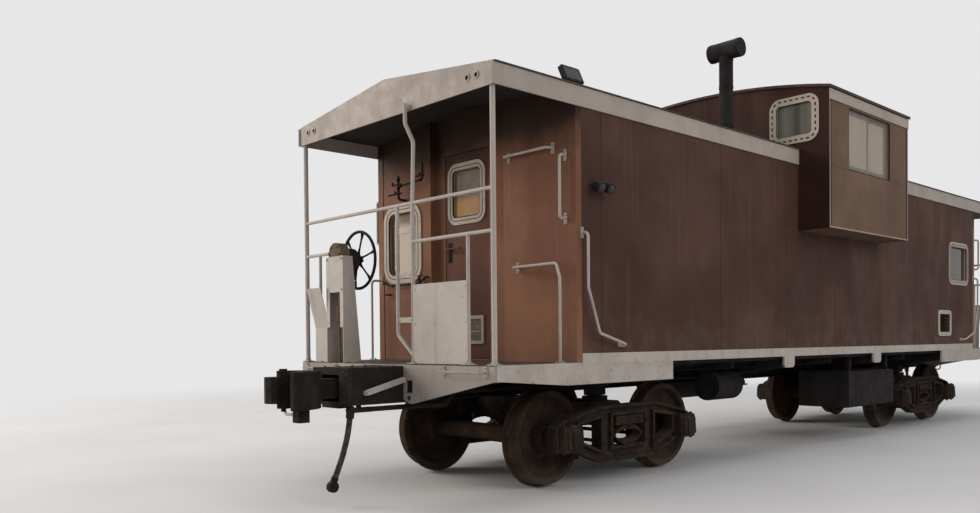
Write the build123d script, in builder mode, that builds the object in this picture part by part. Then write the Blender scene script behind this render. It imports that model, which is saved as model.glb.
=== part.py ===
from build123d import *
import os
from math import cos, radians, sin

os.makedirs("parts", exist_ok=True)

# Driving dimensions, in millimetres. The car lies along Y with its leading end towards -Y, and Z = 0 is the
# lowest point of the wheel flanges. Heights that start from RAIL are measured from the rail top.
RAIL = 25.0                 # rail top above the flange tips
SILL_Y = 5485.0             # outer face of each end sill
BODY_Y = 4565.0             # outer face of each end wall
BODY_X = 1365.0             # outer face of each side wall
WALL = 60.0                 # thickness of the body walls
DECK_Z = RAIL + 1090        # top of the end platforms and of the cabin floor
FLOOR_Z = DECK_Z - 50       # underside of the cabin floor
SILL_TOP = RAIL + 1165      # top of the side sills, where the wall sheets start
SILL_LOW = RAIL + 1076      # bottom of the side sills
SILL_X = BODY_X + 4         # outer face of the side sills

# Main roof
ROOF_X = 1387.0             # half width over the eaves
EAVE_Z = RAIL + 3345
RIDGE_Z = RAIL + 3508
ROOF_T = 50.0
FASCIA_Z = RAIL + 3171      # lower edge of the white fascia
FASCIA_TOP = EAVE_Z - 12
FASCIA_T = 12.0
SLOPE = (RIDGE_Z - EAVE_Z) / ROOF_X

# Cupola, with side bays that reach past the body
CUP_X = 1720.0
CUP_Y0 = -905.0
CUP_Y1 = 1155.0
CUP_MID = (CUP_Y0 + CUP_Y1) / 2
CUP_Z0 = RAIL + 2455        # underside of the bays
CUP_FLOOR = 40.0            # thickness of the bay floors
CUP_EAVE = RAIL + 3945
CUP_RISE = 190.0            # rise of the arched roof
CUP_WALL = 50.0
CUP_ROOF_T = 30.0
CUP_OVER = 25.0             # overhang of the cupola roof
CUP_R = (CUP_X ** 2 + CUP_RISE ** 2) / (2 * CUP_RISE)

# Doors
RECESS_X = 510.0            # half width of the end wall recess
RECESS_Y = BODY_Y - 85      # outer face of the recessed panel
PANEL_T = 50.0
DOOR_W = 610.0
DOOR_H = 1930.0
DOOR_T = 45.0
DOOR_GAP = 6.0
DOOR_X = -80.0              # middle of the front door, off the car's own
DOOR_Z = DECK_Z + 25        # door bottom

# Underframe and couplers
CENTRE_X = 165.0            # half width of the centre sill
CENTRE_LOW = RAIL + 765     # underside of the centre sill
DRAFT_X = 240.0             # half width of the draft housings
DRAFT_OUT = 560.0           # how far they stand out of the end sills
DRAFT_IN = 285.0
DRAFT_TOP = RAIL + 1068
COUPLER_Z = RAIL + 900
PULL_Y = SILL_Y + 1000      # pulling face of each coupler

# Trucks
TRUCK_Y = 3495.0
AXLE_Y = 840.0              # half wheelbase
WHEEL_R = 419.0
FLANGE = 25.0
AXLE_Z = RAIL + WHEEL_R
WHEEL_BACK = 676.5          # inner face of each wheel
WHEEL_W = 145.0
FRAME_X = 930.0             # inner face of each side frame
FRAME_T = 120.0
AXLE_END = 1090.0
BOLSTER_TOP = RAIL + 690

# End platforms and their railings
RAILING_Y = SILL_Y - 35     # centre line of the railing
POST_X = 1325.0
TOP_RAIL = RAIL + 2420
LOW_RAIL = RAIL + 2100
LADDER_X = (135.0, 345.0)
POST_IN = (1035.0, -1085.0)   # short posts, right and left

ENDS = [Location((0, 0, 0)), Location((0, 0, 0), (0, 0, 180))]
END_TURNS = (("front", 0), ("rear", 180))


def save(builder, name):
    """Label a finished piece and write it."""
    builder.part.label = name
    export_step(builder.part, f"parts/{name}.step")


def save_pair(single, name):
    """One piece at each end of the car, half a turn apart, as two nodes."""
    for end, turn in END_TURNS:
        with BuildPart() as piece:
            add(single.part.rotate(Axis.Z, turn))
        save(piece, f"{name}_{end}")


def save_both(single, name):
    """The pieces of both ends, half a turn apart, in one node."""
    with BuildPart() as pair:
        with Locations(*ENDS):
            add(single.part)
    save(pair, name)


def block(x0, x1, y0, y1, z0, z1, mode=Mode.ADD):
    """A plain plate or block between two corners."""
    with Locations(((x0 + x1) / 2, (y0 + y1) / 2, (z0 + z1) / 2)):
        Box(abs(x1 - x0), abs(y1 - y0), abs(z1 - z0), mode=mode)


def rod(start, end, diameter):
    """A straight round bar."""
    run = Vector(*end) - Vector(*start)
    with BuildSketch(Plane(origin=start, z_dir=run)) as section:
        Circle(diameter / 2)
    extrude(section.sketch, amount=run.length)


def pipe(points, diameter, bend):
    """A round pipe bent through the points."""
    with BuildLine() as path:
        FilletPolyline(*points, radius=bend)
    with BuildSketch(Plane(origin=path.line @ 0, z_dir=path.line % 0)) as section:
        Circle(diameter / 2)
    sweep(section.sketch, path=path.line)


def end_plane(x, y, z):
    """A plane that faces -Y."""
    return Plane(origin=(x, y, z), x_dir=(1, 0, 0), z_dir=(0, -1, 0))


def side_plane(x, y, z):
    """A plane that faces +X."""
    return Plane(origin=(x, y, z), x_dir=(0, 1, 0), z_dir=(1, 0, 0))


def prism(plane, points, amount, both=False, mode=Mode.ADD):
    """A polygon drawn on a plane and extruded."""
    with BuildSketch(plane) as profile:
        with BuildLine():
            Polyline(*points, close=True)
        make_face()
    extrude(profile.sketch, amount=amount, both=both, mode=mode)


def roof_top(x):
    return EAVE_Z + (ROOF_X - abs(x)) * SLOPE


def roof_under(x):
    return roof_top(x) - ROOF_T


# Windows: width, height and corner radius over the white frame, and the width of its band
WINDOW_SIZES = {
    "end": (615.0, 790.0, 170.0, 75.0),
    "door": (530.0, 580.0, 115.0, 60.0),
    "louvre": (456.0, 266.0, 8.0, 20.0),
    "side": (765.0, 620.0, 110.0, 60.0),
    "vent": (495.0, 370.0, 60.0, 45.0),
    "cupola": (575.0, 515.0, 125.0, 70.0),
    "bay": (1080.0, 672.0, 20.0, 0.0),
}
FRAME_PROUD = 12.0          # how far the frames stand out of the wall
SLEEVE = 12.0               # thickness of the sleeve that lines each opening
GLASS_T = 8.0


def rounded(width, height, radius, mode=Mode.ADD):
    """A rectangle with round corners, or square ones where the radius is used up."""
    if radius > 1:
        RectangleRounded(width, height, radius, mode=mode)
    else:
        Rectangle(width, height, mode=mode)


def cut_window(kind, plane, depth):
    """The opening in a wall; plane is the wall's outer face."""
    w, h, r, band = WINDOW_SIZES[kind]
    with BuildSketch(plane) as opening:
        rounded(w - 2 * band, h - 2 * band, r - band)
    extrude(opening.sketch, amount=-depth - 1, mode=Mode.SUBTRACT)


def frame_window(kind, plane, depth):
    """The band on the wall and the sleeve through it."""
    w, h, r, band = WINDOW_SIZES[kind]
    for outer, corner, run in ((0, r, FRAME_PROUD), (band, r - band, -depth)):
        with BuildSketch(plane) as ring:
            rounded(w - 2 * outer, h - 2 * outer, corner)
            rounded(w - 2 * band - 2 * SLEEVE, h - 2 * band - 2 * SLEEVE, r - band - SLEEVE, Mode.SUBTRACT)
        extrude(ring.sketch, amount=run)


def glaze(kind, plane, depth):
    """The pane, held by the sleeve in the middle of the wall."""
    w, h, r, band = WINDOW_SIZES[kind]
    with BuildSketch(plane.offset(-depth / 2 - GLASS_T / 2)) as pane:
        rounded(w - 2 * band - 2 * SLEEVE, h - 2 * band - 2 * SLEEVE, r - band - SLEEVE)
    extrude(pane.sketch, amount=GLASS_T)


# Sliding bay windows: depths of the fixed frame from the outer face, its width and a sash's, and the two sashes
# (the half that each fills, and its depths)
BAY_FRAME = (28.0, CUP_WALL)
BAY_RIM = 22.0
STILE_W = 34.0
BAY_SASHES = ((-1, 30.0, 39.0), (1, 39.0, 48.0))

# Window places on the outer wall faces
END_WINDOW_AT = end_plane(-960, -BODY_Y, RAIL + 2255)
SIDE_WINDOW_AT = side_plane(BODY_X, 3903, RAIL + 2340)
VENT_AT = side_plane(BODY_X, 3358, RAIL + 1468)
DOOR_BACK = -RECESS_Y + PANEL_T
DOOR_WINDOW_AT = end_plane(DOOR_X, DOOR_BACK - DOOR_T, RAIL + 2665)
DOOR_LOUVRE_AT = end_plane(DOOR_X, DOOR_BACK - DOOR_T, RAIL + 1378)
CUP_WINDOW_X = 1318.0
CUP_WINDOW_Z = RAIL + 3668
BAY_Z = RAIL + 3465
BAY_Y = CUP_MID - 27
CUP_END_FACES = ((CUP_Y0, -1), (CUP_Y1, 1))


def cupola_end_plane(x, y, facing):
    return Plane(origin=(x, y, CUP_WINDOW_Z), x_dir=(1, 0, 0), z_dir=(0, facing, 0))


def bay_plane(side):
    return Plane(origin=(side * CUP_X, BAY_Y, BAY_Z), x_dir=(0, 1, 0), z_dir=(side, 0, 0))


# Underframe: a hat-shaped centre sill, the body bolsters with their centre plates, and the cross-bearers
SILL_WEB = 14.0
SILL_FLANGE = 60.0
CENTRE_END = SILL_Y - DRAFT_IN
# Cross members: y, half length along the car, depth at the middle, depth at the outer end
CROSS_MEMBERS = (
    (-TRUCK_Y, 180, 275, 105), (TRUCK_Y, 180, 275, 105),
    (-1110, 60, 230, 90), (1110, 60, 230, 90),
    (-2120, 8, 160, 70), (0, 8, 160, 70), (2120, 8, 160, 70),
)
BEARING_X = 635.0
BEARER_X = 1290.0
STRINGER_X = 936.0
TRAIN_LINE_X = 278.0
TRAIN_LINE_Z = RAIL + 724.4
with BuildPart() as underframe:
    half_hat = [(CENTRE_X, FLOOR_Z), (CENTRE_X, CENTRE_LOW + SILL_WEB),
                (CENTRE_X + SILL_FLANGE, CENTRE_LOW + SILL_WEB), (CENTRE_X + SILL_FLANGE, CENTRE_LOW),
                (CENTRE_X - SILL_WEB, CENTRE_LOW), (CENTRE_X - SILL_WEB, FLOOR_Z - SILL_WEB)]
    prism(end_plane(0, CENTRE_END, 0), half_hat + [(-x, z) for x, z in reversed(half_hat)],
          amount=2 * CENTRE_END)
    for y, half, deep, shallow in CROSS_MEMBERS:
        prism(end_plane(0, y + half, 0),
              [(-BEARER_X, FLOOR_Z), (BEARER_X, FLOOR_Z), (BEARER_X, FLOOR_Z - shallow),
               (CENTRE_X, FLOOR_Z - deep), (-CENTRE_X, FLOOR_Z - deep), (-BEARER_X, FLOOR_Z - shallow)],
              amount=2 * half)
    for y in (-TRUCK_Y, TRUCK_Y):
        with Locations((0, y, (BOLSTER_TOP + CENTRE_LOW) / 2)):
            Cylinder(150, CENTRE_LOW - BOLSTER_TOP)
        for x in (-BEARING_X, BEARING_X):
            block(x - 60, x + 60, y - 90, y + 90, BOLSTER_TOP + 56, FLOOR_Z - 150)
    # Floor stringers, angles along each side
    for side in (-1, 1):
        prism(end_plane(0, CENTRE_END - 700, 0),
              [(side * STRINGER_X, FLOOR_Z), (side * (STRINGER_X + 8), FLOOR_Z),
               (side * (STRINGER_X + 8), FLOOR_Z - 72), (side * (STRINGER_X + 55), FLOOR_Z - 72),
               (side * (STRINGER_X + 55), FLOOR_Z - 80), (side * STRINGER_X, FLOOR_Z - 80)],
              amount=2 * CENTRE_END - 1400)
    # Air brake train line, from one angle cock through the cross members to the other; it changes sides in the middle
    half_line = [(185, -SILL_Y - 290, TRAIN_LINE_Z), (185, -CENTRE_END, TRAIN_LINE_Z),
                 (TRAIN_LINE_X, -CENTRE_END + 130, TRAIN_LINE_Z), (TRAIN_LINE_X, -CENTRE_END + 260, RAIL + 835),
                 (TRAIN_LINE_X, -330, RAIL + 835), (TRAIN_LINE_X, -210, TRAIN_LINE_Z)]
    pipe(half_line + [(-x, -y, z) for x, y, z in reversed(half_line)], 42, 50)
save(underframe, "underframe")

# Cabin floor, and the white side sills with their jacking tabs
INNER_Y = BODY_Y - WALL
with BuildPart() as cabin_floor:
    block(-BEARER_X, BEARER_X, -INNER_Y, INNER_Y, FLOOR_Z, DECK_Z)
save(cabin_floor, "cabin_floor")

TAB_Y = 1110.0
TAB_W = 220.0
TAB_LOW = RAIL + 955
TAB_T = 24.0
with BuildPart() as side_sills:
    for side in (-1, 1):
        block(side * BEARER_X, side * SILL_X, -INNER_Y, INNER_Y, SILL_LOW, SILL_TOP)
        for y in (-TAB_Y, TAB_Y):
            with BuildSketch(side_plane(side * (SILL_X - TAB_T / 2), y, (TAB_LOW + SILL_LOW) / 2)):
                RectangleRounded(TAB_W, SILL_LOW - TAB_LOW, 45)
                with Locations((0, (SILL_LOW - TAB_LOW) / 4)):
                    Rectangle(TAB_W, (SILL_LOW - TAB_LOW) / 2)
            extrude(amount=TAB_T / 2, both=True)
save(side_sills, "side_sills")

# Side walls, each with a window and a vent near one end, and a notch where the cupola bay opens
for name, turn in (("side_wall_right", 0), ("side_wall_left", 180)):
    with BuildPart() as wall_sheet:
        prism(end_plane(0, INNER_Y, 0),
              [(BODY_X, SILL_TOP), (BODY_X, roof_under(BODY_X)),
               (BODY_X - WALL, roof_under(BODY_X - WALL)), (BODY_X - WALL, SILL_TOP)], amount=2 * INNER_Y)
        cut_window("side", SIDE_WINDOW_AT, WALL)
        cut_window("vent", VENT_AT, WALL)
    with BuildPart() as side_wall:
        add(wall_sheet.part.rotate(Axis.Z, turn))
        block(-BODY_X - 10, BODY_X + 10, CUP_Y0 + CUP_WALL, CUP_Y1 - CUP_WALL, CUP_Z0 + CUP_FLOOR, RIDGE_Z,
              mode=Mode.SUBTRACT)
    save(side_wall, name)

# End walls: two bays beside a shallow recess, whose panel holds the door
HINGE_X = DOOR_X + DOOR_W / 2 + DOOR_GAP / 2
HINGE_Y = DOOR_BACK + 8
HINGE_HEIGHTS = (DECK_Z + 220, DECK_Z + 980, DECK_Z + 1740)
BARREL = 60.0               # length of each half of a hinge barrel
CORNER_X = 1282.0           # inner edge of the corner posts
CORNER_T = 6.0


def hinge_half(z, side):
    """A barrel on the hinge line and its leaf, on the wall (side 1) or on the door (side -1)."""
    with Locations((HINGE_X, HINGE_Y, z + BARREL / 2)):
        Cylinder(6, BARREL)
    block(HINGE_X + side * 3, HINGE_X + side * 42, HINGE_Y - 8, HINGE_Y - 2, z, z + BARREL)


with BuildPart() as end_wall:
    half_plan = [(RECESS_X, -RECESS_Y), (RECESS_X, -BODY_Y), (BODY_X, -BODY_Y), (BODY_X, -INNER_Y),
                 (RECESS_X + PANEL_T, -INNER_Y), (RECESS_X + PANEL_T, DOOR_BACK)]
    prism(Plane.XY.offset(DECK_Z), half_plan + [(-x, y) for x, y in reversed(half_plan)],
          amount=RIDGE_Z - DECK_Z)
    over = BODY_X + 5
    prism(end_plane(0, -BODY_Y + 200, 0),
          [(-over, roof_under(over)), (0, roof_under(0)), (over, roof_under(over)),
           (over, RIDGE_Z + 5), (-over, RIDGE_Z + 5)], amount=400, mode=Mode.SUBTRACT)
    block(DOOR_X - DOOR_W / 2 - DOOR_GAP, DOOR_X + DOOR_W / 2 + DOOR_GAP, -BODY_Y, DOOR_BACK + 10,
          DOOR_Z - DOOR_GAP, DOOR_Z + DOOR_H + DOOR_GAP, mode=Mode.SUBTRACT)
    cut_window("end", END_WINDOW_AT, WALL)
    for z in HINGE_HEIGHTS:
        hinge_half(z, 1)
    # Corner posts, a little proud of the wall
    for side in (-1, 1):
        prism(end_plane(0, -BODY_Y, 0),
              [(side * CORNER_X, DECK_Z), (side * BODY_X, DECK_Z), (side * BODY_X, roof_under(BODY_X)),
               (side * CORNER_X, roof_under(CORNER_X))], amount=CORNER_T)
save_pair(end_wall, "end_wall")

# Doors, hinged on the right as seen from the platform, opening inwards
HANDLE_X = DOOR_X - 245
HANDLE_Z = RAIL + 2150
HANDLE_Y = DOOR_BACK - DOOR_T - 45
with BuildPart() as door:
    block(DOOR_X - DOOR_W / 2, DOOR_X + DOOR_W / 2, DOOR_BACK - DOOR_T, DOOR_BACK, DOOR_Z, DOOR_Z + DOOR_H)
    cut_window("door", DOOR_WINDOW_AT, DOOR_T)
    cut_window("louvre", DOOR_LOUVRE_AT, DOOR_T)
    rod((HANDLE_X, DOOR_BACK - DOOR_T, HANDLE_Z), (HANDLE_X, HANDLE_Y - 10, HANDLE_Z), 26)
    rod((HANDLE_X, HANDLE_Y, HANDLE_Z), (HANDLE_X + 200, HANDLE_Y, HANDLE_Z), 18)
    for z in HINGE_HEIGHTS:
        hinge_half(z + BARREL + 1, -1)
save_pair(door, "door")

DOOR_BLADES = 5
with BuildPart() as door_trim:
    frame_window("door", DOOR_WINDOW_AT, DOOR_T)
    frame_window("louvre", DOOR_LOUVRE_AT, DOOR_T)
    w, h, r, band = WINDOW_SIZES["louvre"]
    inner_w = w - 2 * band - 2 * SLEEVE
    inner_h = h - 2 * band - 2 * SLEEVE
    for i in range(DOOR_BLADES):
        z = DOOR_LOUVRE_AT.origin.Z - inner_h / 2 + (i + 0.5) * inner_h / DOOR_BLADES
        with BuildSketch(Plane(origin=(DOOR_X, DOOR_BACK - DOOR_T / 2, z), x_dir=(1, 0, 0),
                               z_dir=(0, -sin(radians(40)), cos(radians(40))))) as blade:
            Rectangle(inner_w, 34)
        extrude(blade.sketch, amount=1.5, both=True)
save_pair(door_trim, "door_trim")

with BuildPart() as door_glass:
    glaze("door", DOOR_WINDOW_AT, DOOR_T)
save_pair(door_glass, "door_glass")

# White window frames of the body, and its glass; vent louvres
with BuildPart() as body_frames:
    frame_window("end", END_WINDOW_AT, WALL)
    frame_window("side", SIDE_WINDOW_AT, WALL)
    frame_window("vent", VENT_AT, WALL)
with BuildPart() as window_frames:
    with Locations(*ENDS):
        add(body_frames.part)
    for y, facing in CUP_END_FACES:
        for x in (-CUP_WINDOW_X, CUP_WINDOW_X):
            frame_window("cupola", cupola_end_plane(x, y, facing), CUP_WALL)
    # The bays have sliding windows, set back in the wall: a fixed frame and two sashes that meet in the middle
    for side in (-1, 1):
        w, h, r, band = WINDOW_SIZES["bay"]
        with BuildSketch(bay_plane(side).offset(-BAY_FRAME[0])) as fixed:
            RectangleRounded(w, h, r)
            Rectangle(w - 2 * BAY_RIM, h - 2 * BAY_RIM, mode=Mode.SUBTRACT)
        extrude(fixed.sketch, amount=BAY_FRAME[0] - BAY_FRAME[1])
        for along, near, far in BAY_SASHES:
            with BuildSketch(bay_plane(side).offset(-near)) as sash:
                with Locations((along * (w / 4 - BAY_RIM / 2), 0)):
                    Rectangle(w / 2 - BAY_RIM + STILE_W, h - 2 * BAY_RIM)
                    Rectangle(w / 2 - BAY_RIM - STILE_W, h - 2 * BAY_RIM - 2 * STILE_W, mode=Mode.SUBTRACT)
            extrude(sash.sketch, amount=near - far)
save(window_frames, "window_frames")

LOUVRES = 5
with BuildPart() as louvres:
    w, h, r, band = WINDOW_SIZES["vent"]
    open_w = w - 2 * band - 2 * SLEEVE
    open_h = h - 2 * band - 2 * SLEEVE
    pitch = open_h / LOUVRES
    for i in range(LOUVRES):
        z = VENT_AT.origin.Z - open_h / 2 + (i + 0.5) * pitch
        with BuildSketch(Plane(origin=(BODY_X - 20, VENT_AT.origin.Y, z), x_dir=(0, 1, 0),
                               z_dir=(sin(radians(35)), 0, cos(radians(35))))):
            Rectangle(open_w, 38)
        extrude(amount=2, both=True)
save_both(louvres, "vent_louvres")

with BuildPart() as body_glass:
    glaze("end", END_WINDOW_AT, WALL)
    glaze("side", SIDE_WINDOW_AT, WALL)
with BuildPart() as window_glass:
    with Locations(*ENDS):
        add(body_glass.part)
    for y, facing in CUP_END_FACES:
        for x in (-CUP_WINDOW_X, CUP_WINDOW_X):
            glaze("cupola", cupola_end_plane(x, y, facing), CUP_WALL)
    for side in (-1, 1):
        w, h, r, band = WINDOW_SIZES["bay"]
        for along, near, far in BAY_SASHES:
            with BuildSketch(bay_plane(side).offset(-(near + far) / 2 + 2)) as pane:
                with Locations((along * (w / 4 - BAY_RIM / 2), 0)):
                    Rectangle(w / 2 - BAY_RIM - STILE_W, h - 2 * BAY_RIM - 2 * STILE_W)
            extrude(pane.sketch, amount=-4)
save(window_glass, "window_glass")

# Main roof, in two lengths on either side of the cupola
ROOF_END = SILL_Y - 10
ROOF_RIBS = {"front": (-5340, -4120, -2900, -1680), "rear": (1650, 2870, 4090, 5310)}


def roof_ribs(places):
    """The raised joint covers across the roof sheets."""
    edge = ROOF_X - 25
    for y in places:
        prism(end_plane(0, y + 18, 0),
              [(0, RIDGE_Z - 2), (edge, roof_top(edge) - 2), (edge, roof_top(edge) + 8), (0, RIDGE_Z + 10),
               (-edge, roof_top(edge) + 8), (-edge, roof_top(edge) - 2)], amount=36)


with BuildPart() as roof_front:
    lip = FASCIA_TOP
    prism(end_plane(0, CUP_Y0, 0),
          [(0, RIDGE_Z), (ROOF_X, EAVE_Z), (ROOF_X, lip), (BODY_X, lip), (BODY_X, roof_under(BODY_X)),
           (0, roof_under(0)), (-BODY_X, roof_under(BODY_X)), (-BODY_X, lip), (-ROOF_X, lip),
           (-ROOF_X, EAVE_Z)], amount=ROOF_END + CUP_Y0)
    roof_ribs(ROOF_RIBS["front"])
save(roof_front, "roof_front")
with BuildPart() as roof_rear:
    prism(end_plane(0, ROOF_END, 0),
          [(0, RIDGE_Z), (ROOF_X, EAVE_Z), (ROOF_X, lip), (BODY_X, lip), (BODY_X, roof_under(BODY_X)),
           (0, roof_under(0)), (-BODY_X, roof_under(BODY_X)), (-BODY_X, lip), (-ROOF_X, lip),
           (-ROOF_X, EAVE_Z)], amount=ROOF_END - CUP_Y1)
    roof_ribs(ROOF_RIBS["rear"])
save(roof_rear, "roof_rear")

# White fascias: along the eaves and across each end, and one on each cupola side
FASCIA_STEP = 14.0          # how far the side fascias stand out past the end plates
CUP_FASCIA_Z = RAIL + 3822
CUP_FASCIA_TOP = CUP_EAVE - 12
with BuildPart() as fascias:
    for facing, cupola_y in ((-1, CUP_Y0), (1, CUP_Y1)):
        prism(end_plane(0, facing * (SILL_Y - 5) + 5, 0),
              [(-BODY_X, FASCIA_Z), (BODY_X, FASCIA_Z), (BODY_X, roof_top(BODY_X) - 4),
               (0, RIDGE_Z - 4), (-BODY_X, roof_top(BODY_X) - 4)], amount=10)
        for side in (-1, 1):
            block(side * BODY_X, side * (BODY_X + FASCIA_T), cupola_y, facing * (SILL_Y + FASCIA_STEP),
                  FASCIA_Z, FASCIA_TOP)
    for side in (-1, 1):
        block(side * CUP_X, side * (CUP_X + FASCIA_T), CUP_Y0, CUP_Y1, CUP_FASCIA_Z, CUP_FASCIA_TOP)
save(fascias, "fascias")

# Cupola end walls, with wings that close the side bays
for name, y, facing in (("cupola_end_front", CUP_Y0, -1), ("cupola_end_rear", CUP_Y1, 1)):
    with BuildPart() as cupola_end:
        with BuildSketch(end_plane(0, y + (CUP_WALL if facing < 0 else 0), 0)):
            with BuildLine():
                ThreePointArc((-CUP_X, CUP_EAVE), (0, CUP_EAVE + CUP_RISE), (CUP_X, CUP_EAVE))
                Polyline((CUP_X, CUP_EAVE), (CUP_X, CUP_Z0), (BODY_X, CUP_Z0), (BODY_X, roof_under(BODY_X)),
                         (0, roof_under(0)), (-BODY_X, roof_under(BODY_X)), (-BODY_X, CUP_Z0),
                         (-CUP_X, CUP_Z0), (-CUP_X, CUP_EAVE))
            make_face()
        extrude(amount=CUP_WALL)
        for x in (-CUP_WINDOW_X, CUP_WINDOW_X):
            cut_window("cupola", cupola_end_plane(x, y, facing), CUP_WALL)
    save(cupola_end, name)

# Cupola sides: the outer panel and the floor of each bay
for side, name in ((1, "cupola_side_right"), (-1, "cupola_side_left")):
    with BuildPart() as cupola_side:
        inner_top = CUP_EAVE + CUP_RISE - CUP_R + (CUP_R ** 2 - (CUP_X - CUP_WALL) ** 2) ** 0.5
        prism(end_plane(0, CUP_Y1 - CUP_WALL, 0),
              [(side * CUP_X, CUP_Z0), (side * CUP_X, CUP_EAVE), (side * (CUP_X - CUP_WALL), inner_top),
               (side * (CUP_X - CUP_WALL), CUP_Z0 + CUP_FLOOR), (side * BODY_X, CUP_Z0 + CUP_FLOOR),
               (side * BODY_X, CUP_Z0)], amount=CUP_Y1 - CUP_Y0 - 2 * CUP_WALL)
        cut_window("bay", bay_plane(side), CUP_WALL)
    save(cupola_side, name)

# Cupola roof, an arched sheet with a small overhang
with BuildPart() as cupola_roof:
    edge_x = CUP_X + CUP_OVER
    low = CUP_EAVE + CUP_RISE - CUP_R
    edge_in = low + (CUP_R ** 2 - edge_x ** 2) ** 0.5
    outer_r = CUP_R + CUP_ROOF_T
    edge_out = low + (outer_r ** 2 - edge_x ** 2) ** 0.5
    with BuildSketch(end_plane(0, CUP_Y1 + CUP_OVER, 0)):
        with BuildLine():
            ThreePointArc((-edge_x, edge_in), (0, low + CUP_R), (edge_x, edge_in))
            Line((edge_x, edge_in), (edge_x, edge_out))
            ThreePointArc((edge_x, edge_out), (0, low + outer_r), (-edge_x, edge_out))
            Line((-edge_x, edge_out), (-edge_x, edge_in))
        make_face()
    extrude(amount=CUP_Y1 - CUP_Y0 + 2 * CUP_OVER)
save(cupola_roof, "cupola_roof")

# End platforms: the deck plate on its cross channel, and the side plates under the body ends
SIDE_PLATE_LOW = RAIL + 910
CORNER_LOW = RAIL + 968
PLATE_T = 24.0
DECK_T = 12.0
SILL_T = 15.0
with BuildPart() as platform:
    inner_x = SILL_X - PLATE_T
    block(-inner_x, inner_x, -SILL_Y + SILL_T, -INNER_Y, DECK_Z - DECK_T, DECK_Z)
    for side in (-1, 1):
        prism(side_plane(side * (SILL_X - PLATE_T / 2), 0, 0),
              [(-SILL_Y + SILL_T, CORNER_LOW), (-4700, SIDE_PLATE_LOW), (-3255, SIDE_PLATE_LOW),
               (-3255, SILL_LOW), (-INNER_Y, SILL_LOW), (-INNER_Y, DECK_Z), (-SILL_Y + SILL_T, DECK_Z)],
              amount=PLATE_T / 2, both=True)
        for y in (-SILL_Y + SILL_T, -4960):
            block(side * (DRAFT_X + 2), side * inner_x, y, y + 60, DECK_Z - 130, DECK_Z - DECK_T)
save_both(platform, "end_platforms")

# End sills: a white plate, deep beside the draft housing and shallow at the corners, with pockets and a handle
SILL_DEEP = RAIL + 758
NOTCH_X = DRAFT_X + 2
with BuildPart() as end_sill:
    half_sill = [(SILL_X, DECK_Z - 8), (SILL_X, CORNER_LOW), (357, SILL_DEEP), (330, SILL_DEEP),
                 (NOTCH_X, SILL_DEEP + 28), (NOTCH_X, DRAFT_TOP + 2)]
    prism(end_plane(0, -SILL_Y + SILL_T, 0), half_sill + [(-x, z) for x, z in reversed(half_sill)],
          amount=SILL_T)
    for side in (-1, 1):
        block(side * 277, side * 364, -SILL_Y, -SILL_Y + SILL_T + 1, RAIL + 848, RAIL + 952, mode=Mode.SUBTRACT)
        handle = [(side * 780, -SILL_Y, RAIL + 1035), (side * 780, -SILL_Y - 65, RAIL + 1035),
                  (side * 1270, -SILL_Y - 65, RAIL + 1035), (side * 1270, -SILL_Y, RAIL + 1035)]
        pipe(handle, 20, 25)
save_both(end_sill, "end_sills")

# Draft housings, hollow at the front where the coupler shank goes in
with BuildPart() as draft_housing:
    block(-DRAFT_X, DRAFT_X, -SILL_Y - DRAFT_OUT, -CENTRE_END, CENTRE_LOW, DRAFT_TOP)
    block(-130, 130, -SILL_Y - DRAFT_OUT - 1, -SILL_Y - DRAFT_OUT + 330, COUPLER_Z - 110, COUPLER_Z + 110,
          mode=Mode.SUBTRACT)
    fillet(draft_housing.edges().filter_by(Axis.Y).group_by(Axis.Z)[0].sort_by(Axis.X)[0], 18)
    # Strike plate around the opening
    block(-DRAFT_X - 20, DRAFT_X + 20, -SILL_Y - DRAFT_OUT, -SILL_Y - DRAFT_OUT + 35, CENTRE_LOW, DRAFT_TOP)
    block(-130, 130, -SILL_Y - DRAFT_OUT - 1, -SILL_Y - DRAFT_OUT + 330, COUPLER_Z - 110, COUPLER_Z + 110,
          mode=Mode.SUBTRACT)
    # Ends of the draft key, and the carrier under the shank
    for side in (-1, 1):
        with BuildSketch(side_plane(side * DRAFT_X, -SILL_Y - 235, COUPLER_Z)):
            SlotOverall(140, 44)
        extrude(amount=side * 16)
    block(-125, 125, -SILL_Y - DRAFT_OUT, -SILL_Y - DRAFT_OUT + 110, CENTRE_LOW - 24, CENTRE_LOW)
save_both(draft_housing, "draft_housings")

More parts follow.
